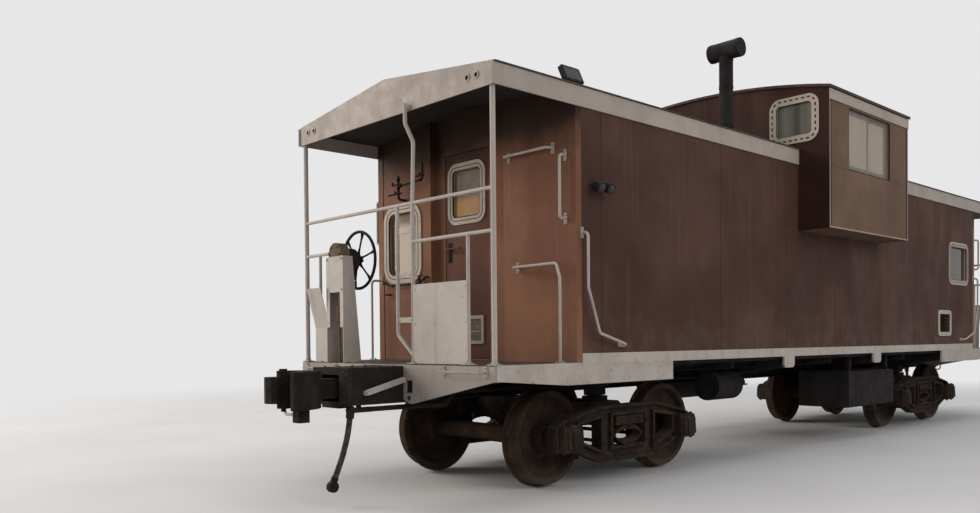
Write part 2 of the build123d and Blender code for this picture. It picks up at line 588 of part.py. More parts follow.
# Couplers, drawn from above: shank, flared head, guard arm on the right and the knuckle's lugs on the left
HEAD_H = 300.0
PIN_AT = (-140.0, -PULL_Y + 95)
PIN_R = 20.0
with BuildPart() as coupler:
    with BuildSketch(Plane.XY.offset(COUPLER_Z - HEAD_H / 2)):
        with BuildLine():
            face_y = -PULL_Y
            Polyline((75, face_y + 310), (150, face_y + 230), (222, face_y + 60), (212, face_y - 12),
                     (165, face_y - 20), (120, face_y + 85), (40, face_y + 125), (-25, face_y + 130),
                     (-50, face_y + 165), (-90, face_y + 182), (-175, face_y + 160), (-200, face_y + 175),
                     (-160, face_y + 250), (-75, face_y + 310), close=True)
        make_face()
    extrude(amount=HEAD_H)
    fillet(coupler.edges().filter_by(Axis.Z), 9)
    fillet(coupler.edges().group_by(Axis.Z)[-1] + coupler.edges().group_by(Axis.Z)[0], 7)
    block(-70, 70, -PULL_Y + 290, -SILL_Y - DRAFT_OUT + 329, COUPLER_Z - 80, COUPLER_Z + 80)
    # Lugs above and below the knuckle
    for z in (COUPLER_Z - HEAD_H / 2, COUPLER_Z + HEAD_H / 2 - 45):
        with BuildSketch(Plane.XY.offset(z)):
            with Locations((-140, face_y + 95)):
                Circle(52)
            with Locations((-140, face_y + 140)):
                Rectangle(104, 90)
        extrude(amount=45)
    with Locations((*PIN_AT, COUPLER_Z)):
        Cylinder(PIN_R + 0.5, HEAD_H + 20, mode=Mode.SUBTRACT)
    # Lock lifter under the head
    block(-45, 55, face_y + 120, face_y + 215, COUPLER_Z - HEAD_H / 2 - 110, COUPLER_Z - HEAD_H / 2)
save_both(coupler, "couplers")

with BuildPart() as knuckle:
    low_z = COUPLER_Z - HEAD_H / 2 + 46
    with BuildSketch(Plane.XY.offset(low_z)):
        with BuildLine():
            Polyline((-188, face_y + 130), (-192, face_y - 5), (-170, face_y - 58), (-110, face_y - 74),
                     (-55, face_y - 60), (-32, face_y - 20), (-45, face_y + 15), (-75, face_y + 22),
                     (-92, face_y + 60), (-92, face_y + 130), close=True)
        make_face()
    extrude(amount=HEAD_H - 92)
    fillet(knuckle.edges().filter_by(Axis.Z), 8)
    # Knuckle pin with its head
    with Locations((*PIN_AT, COUPLER_Z - 6)):
        Cylinder(PIN_R, HEAD_H + 40)
    with Locations((*PIN_AT, COUPLER_Z + HEAD_H / 2 + 8)):
        Cylinder(PIN_R + 12, 15)
save_both(knuckle, "knuckles")

# Uncoupling gear: a flat bar from the side of the draft housing up to the end sill, and the lever on the other
# side, from its handle at the corner along the end sill and forward to the lock lifter
BAR_X = 262.0
BAR_T = 12.0
LEVER_D = 24.0
LEVER_Z = RAIL + 935
LEVER_Y = -SILL_Y - 80
with BuildPart() as lever:
    prism(side_plane(BAR_X, 0, 0),
          [(-SILL_Y - 402, RAIL + 843), (-SILL_Y - 370, RAIL + 843), (-SILL_Y - 18, RAIL + 932), (-SILL_Y, RAIL + 932),
           (-SILL_Y, RAIL + 980), (-SILL_Y - 28, RAIL + 980), (-SILL_Y - 390, RAIL + 889), (-SILL_Y - 402, RAIL + 880)],
          amount=BAR_T)
    block(DRAFT_X, BAR_X, -SILL_Y - 402, -SILL_Y - 362, RAIL + 846, RAIL + 880)
    rod((BAR_X, -SILL_Y - 382, RAIL + 864), (BAR_X + BAR_T + 16, -SILL_Y - 382, RAIL + 864), 28)
    pipe([(-1215, LEVER_Y, LEVER_Z - 130), (-1215, LEVER_Y, LEVER_Z), (-290, LEVER_Y, LEVER_Z),
          (-290, -PULL_Y + 185, LEVER_Z), (-245, -PULL_Y + 165, LEVER_Z - 240), (-45, -PULL_Y + 165, LEVER_Z - 240)],
         LEVER_D, 40)
    for x in (-1110, -430):
        block(x - 16, x + 16, LEVER_Y, -SILL_Y, LEVER_Z - 14, LEVER_Z + 18)
save_both(lever, "uncoupling_levers")

# Angle cocks, hung under the draft housings, with the brake hose and its glad hand
HOSE_D = 48.0
HOSE_X = 185.0
# Free brake hose: route points from the angle cock down and outwards to the glad hand
HOSE_ROUTE = [
    (HOSE_X, -5982.0, 685.0),
    (HOSE_X, -5993.1, 605.8),
    (HOSE_X - 2, -6012.2, 515.8),
    (HOSE_X - 5, -6040.3, 417.8),
    (HOSE_X - 8, -6076.6, 318.2),
    (HOSE_X - 10, -6116.5, 228.7),
]
HOSE_HEAD = Vector(*HOSE_ROUTE[0])
HOSE_TAIL = Vector(*HOSE_ROUTE[-1])
HEAD_DIR = (Vector(*HOSE_ROUTE[1]) - HOSE_HEAD).normalized()
TAIL_DIR = (HOSE_TAIL - Vector(*HOSE_ROUTE[-2])).normalized()
COCK = HOSE_HEAD - HEAD_DIR * 65
with BuildPart() as angle_cock:
    rod(tuple(COCK), HOSE_ROUTE[0], 66)
    rod((HOSE_X, -SILL_Y - 290, COCK.Z), tuple(COCK), 44)
    with Locations(COCK):
        Sphere(40)
    block(HOSE_X - 12, HOSE_X + 12, COCK.Y + 60, COCK.Y + 95, COCK.Z, CENTRE_LOW)
    # Handle across the top
    block(HOSE_X - 60, HOSE_X + 14, COCK.Y - 12, COCK.Y + 12, COCK.Z + 25, COCK.Z + 37)
save_both(angle_cock, "angle_cocks")

with BuildPart() as hose:
    points = [Vector(*p) for p in HOSE_ROUTE]
    radii = []
    for a, b, c in zip(points, points[1:], points[2:]):
        turn = (b - a).get_angle(c - b)
        shorter = min((b - a).length, (c - b).length)
        half = radians(turn / 2)
        radii.append(0.45 * shorter * cos(half) / sin(half))
    with BuildLine() as hose_line:
        FilletPolyline(*HOSE_ROUTE, radius=radii)
    with BuildSketch(Plane(origin=hose_line.line @ 0, z_dir=hose_line.line % 0)):
        Circle(HOSE_D / 2)
    sweep()
hose_length = sum(edge.length for edge in hose_line.edges())
print("hose radii", [round(r) for r in radii], "length", round(hose_length, 1),
      "volume ratio", round(hose.part.volume / (hose_length * 3.14159265 * HOSE_D ** 2 / 4), 4))
save_pair(hose, "brake_hose")

with BuildPart() as glad_hand:
    tip = HOSE_TAIL + TAIL_DIR * 60
    rod(HOSE_ROUTE[-1], tuple(tip), 58)
    hand = tip + TAIL_DIR * 20
    with Locations((hand.X + 12, hand.Y, hand.Z)):
        Cylinder(44, 46, rotation=(0, 90, 0))
save_pair(glad_hand, "glad_hand")

# Railings: corner posts up to the roof, an upper and a lower rail, and short posts
POST_D = 42.0
RAIL_D = 30.0
STILE_D = 34.0
ROOF_FOOT = FASCIA_Z
with BuildPart() as railing:
    y = -RAILING_Y
    for side in (-1, 1):
        rod((side * POST_X, y, DECK_Z), (side * POST_X, y, roof_under(POST_X) - 3), POST_D)
    rod((-POST_X, y, TOP_RAIL), (POST_X, y, TOP_RAIL), RAIL_D)
    rod((LADDER_X[1], y, LOW_RAIL), (POST_X, y, LOW_RAIL), RAIL_D)
    rod((-POST_X, y, LOW_RAIL), (-930, y, LOW_RAIL), RAIL_D)
    for x in POST_IN:
        rod((x, y, DECK_Z), (x, y, LOW_RAIL), RAIL_D)
    # Ladder: two stiles and flat rungs; the right stile joggles out and is held to the front of the fascia
    right = LADDER_X[1]
    left = LADDER_X[0]
    top_y = -SILL_Y - 32
    pipe([(right, y, DECK_Z), (right, y, RAIL + 2420), (right, y + 16, RAIL + 2925),
          (right, top_y, RAIL + 3065), (right, top_y, RAIL + 3225)], STILE_D, 60)
    block(right - 22, right + 22, top_y, -SILL_Y, RAIL + 3180, RAIL + 3212)
    pipe([(left, y, TOP_RAIL), (left, y, RAIL + 1330), (right - 8, y, RAIL + 1165)], STILE_D, 60)
    for z in (RAIL + 2200, RAIL + 1827, RAIL + 1454):
        block(left, right, y - 5, y + 5, z - 22, z + 22)
save_both(railing, "railings")

# Kick panels: a plain sheet right of the ladder and a bent one left of the hand brake
KICK_T = 4.0
KICK_X = (LADDER_X[1] + STILE_D / 2 + 2, POST_IN[0] + 8)
with BuildPart() as kick:
    with BuildSketch(end_plane((KICK_X[0] + KICK_X[1]) / 2, -RAILING_Y - RAIL_D / 2, RAIL + 1418)):
        RectangleRounded(KICK_X[1] - KICK_X[0], 650, 55)
        with Locations((0, 100)):
            Rectangle(KICK_X[1] - KICK_X[0], 450)
    extrude(amount=KICK_T)
    bent = [(-RAILING_Y - 16, DECK_Z), (-RAILING_Y - 16, RAIL + 1410), (-RAILING_Y - 110, RAIL + 1780),
            (-RAILING_Y - 114, RAIL + 1779), (-RAILING_Y - 20, RAIL + 1409), (-RAILING_Y - 20, DECK_Z)]
    prism(side_plane(-1150, 0, 0), bent, amount=240)
save_both(kick, "kick_panels")

# Hand-brake stands: two tapered side plates, a back plate and a front cover, with the gear case on top
STAND_X = (-900.0, -620.0)
STAND_TOP = RAIL + 2060
STAND_FRONT = -SILL_Y - 20
STAND_PROFILE = [(STAND_FRONT, DECK_Z), (STAND_FRONT, STAND_TOP), (STAND_FRONT + 105, STAND_TOP),
                 (STAND_FRONT + 190, DECK_Z)]
with BuildPart() as stand:
    x0, x1 = STAND_X
    prism(side_plane(x0, 0, 0), STAND_PROFILE, amount=x1 - x0)
    inner = [(STAND_FRONT - 5, DECK_Z - 5), (STAND_FRONT - 5, RAIL + 1730), (STAND_FRONT + 10, RAIL + 1730),
             (STAND_FRONT + 10, STAND_TOP - 20), (STAND_FRONT + 95, STAND_TOP - 20),
             (STAND_FRONT + 182, DECK_Z - 5)]
    prism(side_plane(x0 + 8, 0, 0), inner, amount=x1 - x0 - 16, mode=Mode.SUBTRACT)
    for edge, width in ((x0, 55), (x1 - 55, 55)):
        block(edge, edge + width, STAND_FRONT, STAND_FRONT + 8, RAIL + 1410, RAIL + 1730)
save_both(stand, "brake_stands")

BRAKE_X = (STAND_X[0] + STAND_X[1]) / 2
BRAKE_Z = RAIL + 2040
WHEEL_PLANE = -SILL_Y + 250
with BuildPart() as gear_case:
    # Domed head over the stand, then the round gear case between it and the wheel
    with BuildSketch(end_plane(BRAKE_X, STAND_FRONT + 102, STAND_TOP)) as dome:
        with BuildLine():
            Polyline((-100, 30), (-100, 0), (100, 0), (100, 30))
            ThreePointArc((100, 30), (0, 125), (-100, 30))
        make_face()
    extrude(dome.sketch, amount=96)
    with Locations((BRAKE_X, WHEEL_PLANE - 110, BRAKE_Z - 15)):
        Cylinder(118, 100, rotation=(90, 0, 0))
    fillet(gear_case.faces().sort_by(Axis.Y)[-1].edges(), 18)
    block(BRAKE_X - 62, BRAKE_X + 62, WHEEL_PLANE - 155, WHEEL_PLANE - 72, BRAKE_Z - 190, BRAKE_Z - 60)
    with Locations((BRAKE_X, WHEEL_PLANE - 52, BRAKE_Z)):
        Cylinder(34, 24, rotation=(90, 0, 0))
    prism(side_plane(STAND_X[0] - 5, 0, 0), STAND_PROFILE, STAND_X[1] - STAND_X[0] + 10, mode=Mode.SUBTRACT)
    # Pull rod inside the open front of the stand
    rod((BRAKE_X, STAND_FRONT + 50, DECK_Z), (BRAKE_X, STAND_FRONT + 50, STAND_TOP - 20), 22)
    rod((BRAKE_X, STAND_FRONT + 50, RAIL + 1450), (BRAKE_X, STAND_FRONT + 50, RAIL + 1610), 44)
save_both(gear_case, "brake_gear_cases")

SPOKES = 6
with BuildPart() as brake_wheel:
    hub = (BRAKE_X, WHEEL_PLANE, BRAKE_Z)
    with BuildSketch(Plane(origin=(BRAKE_X + 265, WHEEL_PLANE, BRAKE_Z), x_dir=(1, 0, 0), z_dir=(0, 0, 1))):
        Circle(14)
    revolve(axis=Axis((BRAKE_X, WHEEL_PLANE, BRAKE_Z), (0, 1, 0)))
    with Locations(Location((BRAKE_X, WHEEL_PLANE - 10, BRAKE_Z), (90, 0, 0))):
        Cylinder(38, 50)
    for i in range(SPOKES):
        a = radians(360 / SPOKES * (i + 0.25))
        rod((BRAKE_X + 25 * cos(a), WHEEL_PLANE - 12, BRAKE_Z + 25 * sin(a)),
            (BRAKE_X + 262 * cos(a), WHEEL_PLANE, BRAKE_Z + 262 * sin(a)), 17)
save_pair(brake_wheel, "brake_wheel")

# Grab irons on the end walls, and curved handrails at the corners
GRAB_D = 24.0
with BuildPart() as grabs:
    wall_y = -BODY_Y
    stand_off = -BODY_Y - 75
    pipe([(585, wall_y, RAIL + 2870), (585, stand_off, RAIL + 2870), (1110, stand_off, RAIL + 2870),
          (1110, wall_y, RAIL + 2870)], GRAB_D, 30)
    pipe([(1250, wall_y, RAIL + 2790), (1250, stand_off, RAIL + 2790), (1250, stand_off, RAIL + 2270),
          (1250, wall_y, RAIL + 2270)], GRAB_D, 30)
    pipe([(-BODY_X, wall_y + 30, RAIL + 2735), (-BODY_X - 70, wall_y + 30, RAIL + 2735),
          (-BODY_X - 70, wall_y + 30, RAIL + 2290), (-BODY_X, wall_y + 30, RAIL + 2290)], GRAB_D, 30)
    foot_y = -BODY_Y - 135
    pipe([(690, wall_y, RAIL + 1903), (690, stand_off, RAIL + 1903), (1240, stand_off - 40, RAIL + 1903),
          (1300, foot_y, RAIL + 1780), (1300, foot_y, DECK_Z)], GRAB_D, 40)
    pipe([(-1315, wall_y - CORNER_T, RAIL + 1903), (-1315, foot_y, RAIL + 1903), (-1315, foot_y, DECK_Z)], GRAB_D, 40)
    for side in (-1, 1):
        pipe([(side * BODY_X, wall_y + 560, RAIL + 1230), (side * (BODY_X + 70), wall_y + 560, RAIL + 1230),
              (side * (BODY_X + 70), wall_y + 200, RAIL + 1330), (side * (BODY_X + 70), wall_y + 60, RAIL + 1700),
              (side * (BODY_X + 70), wall_y + 60, RAIL + 2150), (side * BODY_X, wall_y + 60, RAIL + 2150)],
             GRAB_D, 40)
save_both(grabs, "grab_irons")

# Whistle pipe with its valves on the left bay of each end wall
with BuildPart() as whistle:
    pipe_y = -BODY_Y - 90
    pipe([(-905, -BODY_Y, RAIL + 2685), (-905, pipe_y, RAIL + 2685), (-905, pipe_y, RAIL + 2917)], 26, 30)
    pipe([(-905, pipe_y, RAIL + 2815), (-520, pipe_y, RAIL + 2835), (-520, pipe_y, RAIL + 3000)], 22, 30)
    rod((-1070, pipe_y, RAIL + 2745), (-860, pipe_y, RAIL + 2745), 20)
    rod((-1000, pipe_y, RAIL + 2835), (-860, pipe_y, RAIL + 2835), 18)
    rod((-620, pipe_y, RAIL + 2875), (-500, pipe_y, RAIL + 2875), 20)
    # A small pipe under the window with its valve, and a cock near the corner
    low_y = -BODY_Y - 38
    pipe([(-1250, -BODY_Y, RAIL + 1880), (-1250, low_y, RAIL + 1880), (-1120, low_y, RAIL + 1838),
          (-650, low_y, RAIL + 1838), (-560, low_y, RAIL + 1900), (-560, -BODY_Y, RAIL + 1900)], 18, 22)
    rod((-650, low_y, RAIL + 1838), (-650, low_y, RAIL + 1910), 26)
    rod((-690, low_y, RAIL + 1915), (-600, low_y, RAIL + 1915), 12)
    rod((-1170, -BODY_Y, RAIL + 1752), (-1170, low_y - 20, RAIL + 1752), 20)
    rod((-1210, low_y - 12, RAIL + 1752), (-1130, low_y - 12, RAIL + 1752), 14)
save_both(whistle, "whistle_pipes")

# Smokestack with a T-shaped cap, beside the cupola
STACK = (750.0, -1350.0)
with BuildPart() as smokestack:
    stack_foot = roof_top(STACK[0] - 90)
    rod((STACK[0], STACK[1], stack_foot - 30), (STACK[0], STACK[1], RAIL + 4440), 152)
    rod((STACK[0] - 190, STACK[1], RAIL + 4470), (STACK[0] + 190, STACK[1], RAIL + 4470), 200)
    with Locations((STACK[0], STACK[1], stack_foot + 10)):
        Cylinder(130, 80)
    prism(end_plane(0, STACK[1] + 400, 0),
          [(-ROOF_X, EAVE_Z - 300), (-ROOF_X, EAVE_Z), (0, RIDGE_Z), (ROOF_X, EAVE_Z), (ROOF_X, EAVE_Z - 300)],
          amount=800, mode=Mode.SUBTRACT)
save(smokestack, "smokestack")

# Lamps: a tilted one on the roof edge and a twin head on the side
with BuildPart() as lamps:
    foot = roof_top(1200)
    block(1190, 1210, -4445, -4425, foot - 2, foot + 70)
    with BuildSketch(Plane(origin=(1200, -4435, foot + 110), x_dir=(0, 1, 0),
                           z_dir=(cos(radians(25)), 0, sin(radians(25))))):
        RectangleRounded(230, 150, 15)
    extrude(amount=20, both=True)
    block(BODY_X, BODY_X + 45, -4330, -4300, RAIL + 2515, RAIL + 2550)
    for dy in (-60, 60):
        with Locations(Location((BODY_X + 75, -4315 + dy, RAIL + 2530), (0, 115, 0))):
            Cylinder(42, 80)
    rod((BODY_X + 40, -4375, RAIL + 2532), (BODY_X + 40, -4255, RAIL + 2532), 26)
    prism(end_plane(0, -4300, 0),
          [(1100, EAVE_Z - 60), (1100, roof_top(1100)), (1300, roof_top(1300)), (1300, EAVE_Z - 60)],
          amount=300, mode=Mode.SUBTRACT)
save(lamps, "lamps")

# Underfloor equipment: a battery box, an air reservoir on straps, and the brake cylinder
with BuildPart() as equipment_box:
    block(560, 1220, 640, 1950, RAIL + 400, RAIL + 850)
    fillet(equipment_box.edges().filter_by(Axis.Y), 25)
    for y in (760, 1830):
        block(600, 660, y - 25, y + 25, RAIL + 850, FLOOR_Z)
        block(1120, 1180, y - 25, y + 25, RAIL + 850, FLOOR_Z)
save(equipment_box, "equipment_box")

with BuildPart() as air_tank:
    with Locations((-800, 0, RAIL + 690)):
        Cylinder(215, 1500, rotation=(90, 0, 0))
    fillet(air_tank.edges().filter_by(GeomType.CIRCLE), 60)
    for y in (-520, 520):
        block(-840, -760, y - 20, y + 20, RAIL + 880, FLOOR_Z)
    with Locations((720, -1480, RAIL + 760)):
        Cylinder(160, 480, rotation=(90, 0, 0))
    for y in (-1600, -1360):
        block(690, 750, y - 15, y + 15, RAIL + 890, FLOOR_Z)
    # Push rod of the brake cylinder and its lever, pivoted under the centre sill
    rod((720, -1240, RAIL + 748), (720, -985, RAIL + 748), 34)
    block(-190, 765, -1010, -955, CENTRE_LOW - 24, CENTRE_LOW - 8)
    block(-195, -135, -1015, -950, CENTRE_LOW - 24, CENTRE_LOW)
save(air_tank, "air_tanks")

# Trucks, drawn about their own centre and then moved to both ends


def save_trucks(single, name):
    for end, y in (("front", -TRUCK_Y), ("rear", TRUCK_Y)):
        with BuildPart() as piece:
            add(single.part.moved(Location((0, y, 0))))
        save(piece, f"{name}_{end}")


BOX_OUT = 1125.0            # outer face of the journal boxes
BOX_Y = 115.0               # half width of a journal box
COLUMN_Y = 235.0            # half width of the opening for the bolster
RIM = 26.0                  # width of the flanges around the web of a side frame
WEB_BACK = 40.0             # how far the web lies back between them
with BuildPart() as truck_frame:
    with BuildSketch(side_plane(FRAME_X, 0, 0)) as outline:
        with BuildLine():
            Polyline((-985, 335), (-985, 550), (-870, 610), (-420, 705), (420, 705), (870, 610), (985, 550),
                     (985, 335), (760, 335), (380, 195), (-380, 195), (-760, 335), close=True)
        make_face()
        with BuildLine():
            Polyline((-COLUMN_Y, 330), (COLUMN_Y, 330), (COLUMN_Y, 610), (-COLUMN_Y, 610), close=True)
        make_face(mode=Mode.SUBTRACT)
        for side in (-1, 1):
            with BuildLine():
                Polyline((side * 395, 310), (side * 395, 600), (side * 680, 560), (side * 680, 420), close=True)
            make_face(mode=Mode.SUBTRACT)
    extrude(amount=FRAME_T)
    with BuildSketch(side_plane(FRAME_X + FRAME_T, 0, 0)) as web:
        add(outline.sketch_local)
        offset(amount=-RIM, kind=Kind.INTERSECTION)
    extrude(web.sketch, amount=-WEB_BACK, mode=Mode.SUBTRACT)
    for y in (-AXLE_Y, AXLE_Y):
        block(FRAME_X, BOX_OUT, y - BOX_Y, y + BOX_Y, AXLE_Z - 105, AXLE_Z + 115)
    fillet(truck_frame.edges().filter_by(Axis.Z).group_by(Axis.X)[-1], 20)
    for y in (-AXLE_Y, AXLE_Y):
        # Sloping lid with a raised middle, hinged on a lug at the top of the box
        for half, out in ((BOX_Y - 22, 0), (BOX_Y - 70, 14)):
            prism(end_plane(0, y + half, 0),
                  [(BOX_OUT - 4, AXLE_Z - 88), (BOX_OUT + 26 + out, AXLE_Z - 70), (BOX_OUT + 18 + out, AXLE_Z + 70),
                   (BOX_OUT + 6, AXLE_Z + 104), (BOX_OUT - 4, AXLE_Z + 104)], amount=2 * half)
        rod((BOX_OUT - 6, y - 55, AXLE_Z + 112), (BOX_OUT - 6, y + 55, AXLE_Z + 112), 36)
    with Locations((FRAME_X + 80, -AXLE_Y, AXLE_Z), (FRAME_X + 80, AXLE_Y, AXLE_Z)):
        Cylinder(68, 180, rotation=(0, 90, 0), mode=Mode.SUBTRACT)
    mirror(about=Plane.YZ)
    block(-FRAME_X - 20, FRAME_X + 20, -150, 150, 235, 262)
save_trucks(truck_frame, "truck_frame")

# Truck bolster with the centre bowl and side bearings; it rides on the springs in the frame openings
BOLSTER_SEAT = 520.0
with BuildPart() as bolster:
    deep = RAIL + 430
    prism(end_plane(0, 200, 0),
          [(-1060, BOLSTER_SEAT), (-1060, 600), (-900, 600), (-760, BOLSTER_TOP), (760, BOLSTER_TOP),
           (900, 600), (1060, 600), (1060, BOLSTER_SEAT), (850, BOLSTER_SEAT), (400, deep), (-400, deep),
           (-850, BOLSTER_SEAT)],
          amount=400)
    with BuildSketch(Plane.XY.offset(BOLSTER_TOP)):
        Circle(185)
        Circle(158, mode=Mode.SUBTRACT)
    extrude(amount=25)
    for x in (-BEARING_X, BEARING_X):
        block(x - 75, x + 75, -100, 100, BOLSTER_TOP, BOLSTER_TOP + 50)
save_trucks(bolster, "truck_bolster")

# Elliptic leaf springs, standing in the openings of the side frames: bows of leaves, each shorter than the one
# outside it, in three packs side by side, with eyes at the tips and a band around the middle
SPRING_HALF = 205.0
SPRING_SEAT = 330.0
SPRING_RISE = (BOLSTER_SEAT - SPRING_SEAT) / 2
SPRING_MID = (BOLSTER_SEAT + SPRING_SEAT) / 2
BOW_R = (SPRING_HALF ** 2 + SPRING_RISE ** 2) / (2 * SPRING_RISE)
BOW_ANGLE = 46.0            # half the angle of the longest leaf
LEAVES = 4
LEAF_T = 11.0
PACKS = 3
SPRING_X = FRAME_X + 10
SPRING_W = FRAME_T - 20
with BuildPart() as springs:
    with BuildSketch(side_plane(SPRING_X, 0, 0)) as bows:
        for bow in (-1, 1):
            centre = SPRING_MID + bow * (SPRING_RISE - BOW_R)
            for i in range(LEAVES):
                spread = [radians((BOW_ANGLE - 9 * i) * k) for k in (-1, 0, 1)]
                outer = [((BOW_R - i * LEAF_T) * sin(t), centre + bow * (BOW_R - i * LEAF_T) * cos(t)) for t in spread]
                inner = [((BOW_R - (i + 1) * LEAF_T) * sin(t), centre + bow * (BOW_R - (i + 1) * LEAF_T) * cos(t))
                         for t in spread]
                with BuildLine():
                    ThreePointArc(*outer)
                    Line(outer[2], inner[2])
                    ThreePointArc(*reversed(inner))
                    Line(inner[0], outer[0])
                make_face()
        for side in (-1, 1):
            with Locations((side * (SPRING_HALF - 10), SPRING_MID)):
                Circle(15)
    extrude(bows.sketch, amount=SPRING_W)
    for i in range(1, PACKS):
        x = SPRING_X + i * SPRING_W / PACKS
        block(x - 2, x + 2, -SPRING_HALF - 20, SPRING_HALF + 20, SPRING_SEAT - 5, BOLSTER_SEAT + 5, mode=Mode.SUBTRACT)
    for low, high in ((SPRING_SEAT, SPRING_SEAT + LEAVES * LEAF_T + 6), (BOLSTER_SEAT - LEAVES * LEAF_T - 6, BOLSTER_SEAT)):
        block(SPRING_X - 3, SPRING_X + SPRING_W + 3, -34, 34, low, high)
    mirror(about=Plane.YZ)
save_trucks(springs, "truck_springs")

# Brake beams: a bar, a truss and two curved shoes at each wheelset, hung from the side frames
SHOE_GAP = 9.0
SHOE_T = 40.0
with BuildPart() as brake_beams:
    for facing in (-1, 1):
        axle = facing * AXLE_Y
        for side in (-1, 1):
            with BuildSketch(side_plane(side * 712, 0, 0)):
                with BuildLine():
                    inner_r = WHEEL_R + SHOE_GAP
                    outer_r = inner_r + SHOE_T
                    spread = (-30, -8, 14)
                    arc_in = [(axle - facing * inner_r * cos(radians(t)), AXLE_Z + inner_r * sin(radians(t)))
                              for t in spread]
                    arc_out = [(axle - facing * outer_r * cos(radians(t)), AXLE_Z + outer_r * sin(radians(t)))
                               for t in spread]
                    ThreePointArc(*arc_in)
                    Line(arc_in[2], arc_out[2])
                    ThreePointArc(*reversed(arc_out))
                    Line(arc_out[0], arc_in[0])
                make_face()
            extrude(amount=side * 90)
            shoe_y = facing * (AXLE_Y - WHEEL_R - SHOE_GAP - SHOE_T - 4)
            rod((side * 757, shoe_y, AXLE_Z - 55), (side * FRAME_X, shoe_y, AXLE_Z - 55), 32)
        rod((-757, shoe_y, AXLE_Z - 55), (757, shoe_y, AXLE_Z - 55), 38)
save_trucks(brake_beams, "brake_beams")

# Wheelsets: one revolved profile of axle and wheels about the X axis; half of it is drawn and mirrored
with BuildPart() as wheelset:
    back = WHEEL_BACK
    front = WHEEL_BACK + WHEEL_W
    tip = WHEEL_R + FLANGE
    with BuildSketch(Plane(origin=(0, 0, 0), x_dir=(1, 0, 0), z_dir=(0, -1, 0))):
        with BuildLine():
            Polyline((0, 0), (0, 76), (back - 25, 82), (back - 25, 130), (back + 30, 150), (back + 62, 330),
                     (back, 372), (back, tip - 12), (back + 10, tip), (back + 22, tip), (back + 34, WHEEL_R + 3),
                     (front - 8, WHEEL_R - 5), (front, WHEEL_R - 12), (front, 362), (back + 90, 330),
                     (back + 58, 150), (front + 25, 130), (front + 25, 88), (FRAME_X - 60, 78), (FRAME_X - 60, 64),
                     (AXLE_END, 64), (AXLE_END, 0), close=True)
        make_face()
    revolve(axis=Axis.X)
    mirror(about=Plane.YZ)
AXLES = (("1", -TRUCK_Y - AXLE_Y), ("2", -TRUCK_Y + AXLE_Y), ("3", TRUCK_Y - AXLE_Y), ("4", TRUCK_Y + AXLE_Y))
for number, y in AXLES:
    with BuildPart() as placed:
        add(wheelset.part.moved(Location((0, y, AXLE_Z))))
    save(placed, f"wheelset_{number}")
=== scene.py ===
import math

import bmesh
import bpy
from mathutils import Matrix, Vector


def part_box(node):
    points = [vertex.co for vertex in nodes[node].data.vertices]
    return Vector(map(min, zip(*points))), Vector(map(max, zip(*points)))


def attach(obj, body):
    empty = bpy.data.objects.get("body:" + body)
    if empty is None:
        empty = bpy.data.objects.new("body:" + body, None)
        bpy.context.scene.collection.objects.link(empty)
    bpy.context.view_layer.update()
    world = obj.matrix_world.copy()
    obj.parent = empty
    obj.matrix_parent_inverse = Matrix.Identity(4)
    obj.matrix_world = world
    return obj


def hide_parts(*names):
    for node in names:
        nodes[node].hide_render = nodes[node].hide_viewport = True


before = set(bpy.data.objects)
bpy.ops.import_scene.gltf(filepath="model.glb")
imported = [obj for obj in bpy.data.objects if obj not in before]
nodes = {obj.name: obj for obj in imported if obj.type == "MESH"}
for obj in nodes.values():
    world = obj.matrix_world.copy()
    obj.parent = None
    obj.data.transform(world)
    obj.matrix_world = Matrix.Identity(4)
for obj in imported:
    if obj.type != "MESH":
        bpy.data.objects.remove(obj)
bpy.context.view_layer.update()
scene = bpy.context.scene

RAIL = 0.025
ENDS = (("front", 1), ("rear", -1))     # the rear end is the front one turned half round

# Faces of the body and of the cupola, from the frame, and of the pieces on the ends
BODY_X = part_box("side_wall_right")[1][0]
CUP_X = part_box("cupola_side_right")[1][0]
CUP_Z0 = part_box("cupola_side_right")[0][2]
CUP_Y0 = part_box("cupola_end_front")[0][1]
CUP_Y1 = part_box("cupola_end_rear")[1][1]
DECK_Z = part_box("end_platforms")[1][2]
BODY_Y = 4.565
DOOR_X, DOOR_Y = -0.080, 4.475
SILL_Y = 5.485
RAILING_Y = 5.45
STAND_X = (-0.900, -0.620)
STAND_MID = sum(STAND_X) / 2
STAND_FRONT = SILL_Y + 0.020
TRUCK_Y = 3.495


def turned(p, s):
    """A point of the front end, or the same point of the rear end."""
    return Vector((p[0] * s, p[1] * s, p[2]))


# Camera at the photograph's angle
FOCAL_PX = 862.67
IMAGE_W, IMAGE_H = 980, 513
HORIZON_ROW = 354.88
SENSOR_W = 36.0
CAMERA_AT = Vector((6.025, -9.848, 1.304))
yaw, pitch, roll = 0.824, -0.017, -0.009
look = Vector((-math.sin(yaw) * math.cos(pitch), math.cos(yaw) * math.cos(pitch), math.sin(pitch)))
right = look.cross(Vector((0, 0, 1))).normalized()
up = right.cross(look)
right, up = (right * math.cos(roll) + up * math.sin(roll), up * math.cos(roll) - right * math.sin(roll))
camera_data = bpy.data.cameras.new("camera")
camera = bpy.data.objects.new("camera", camera_data)
scene.collection.objects.link(camera)
camera.matrix_world = Matrix.Translation(CAMERA_AT) @ Matrix((
    (right.x, up.x, -look.x), (right.y, up.y, -look.y), (right.z, up.z, -look.z))).to_4x4()
camera_data.sensor_width = SENSOR_W
camera_data.lens = FOCAL_PX / IMAGE_W * SENSOR_W
camera_data.shift_y = (HORIZON_ROW - IMAGE_H / 2) / IMAGE_W
camera_data.clip_end = 200.0
scene.camera = camera

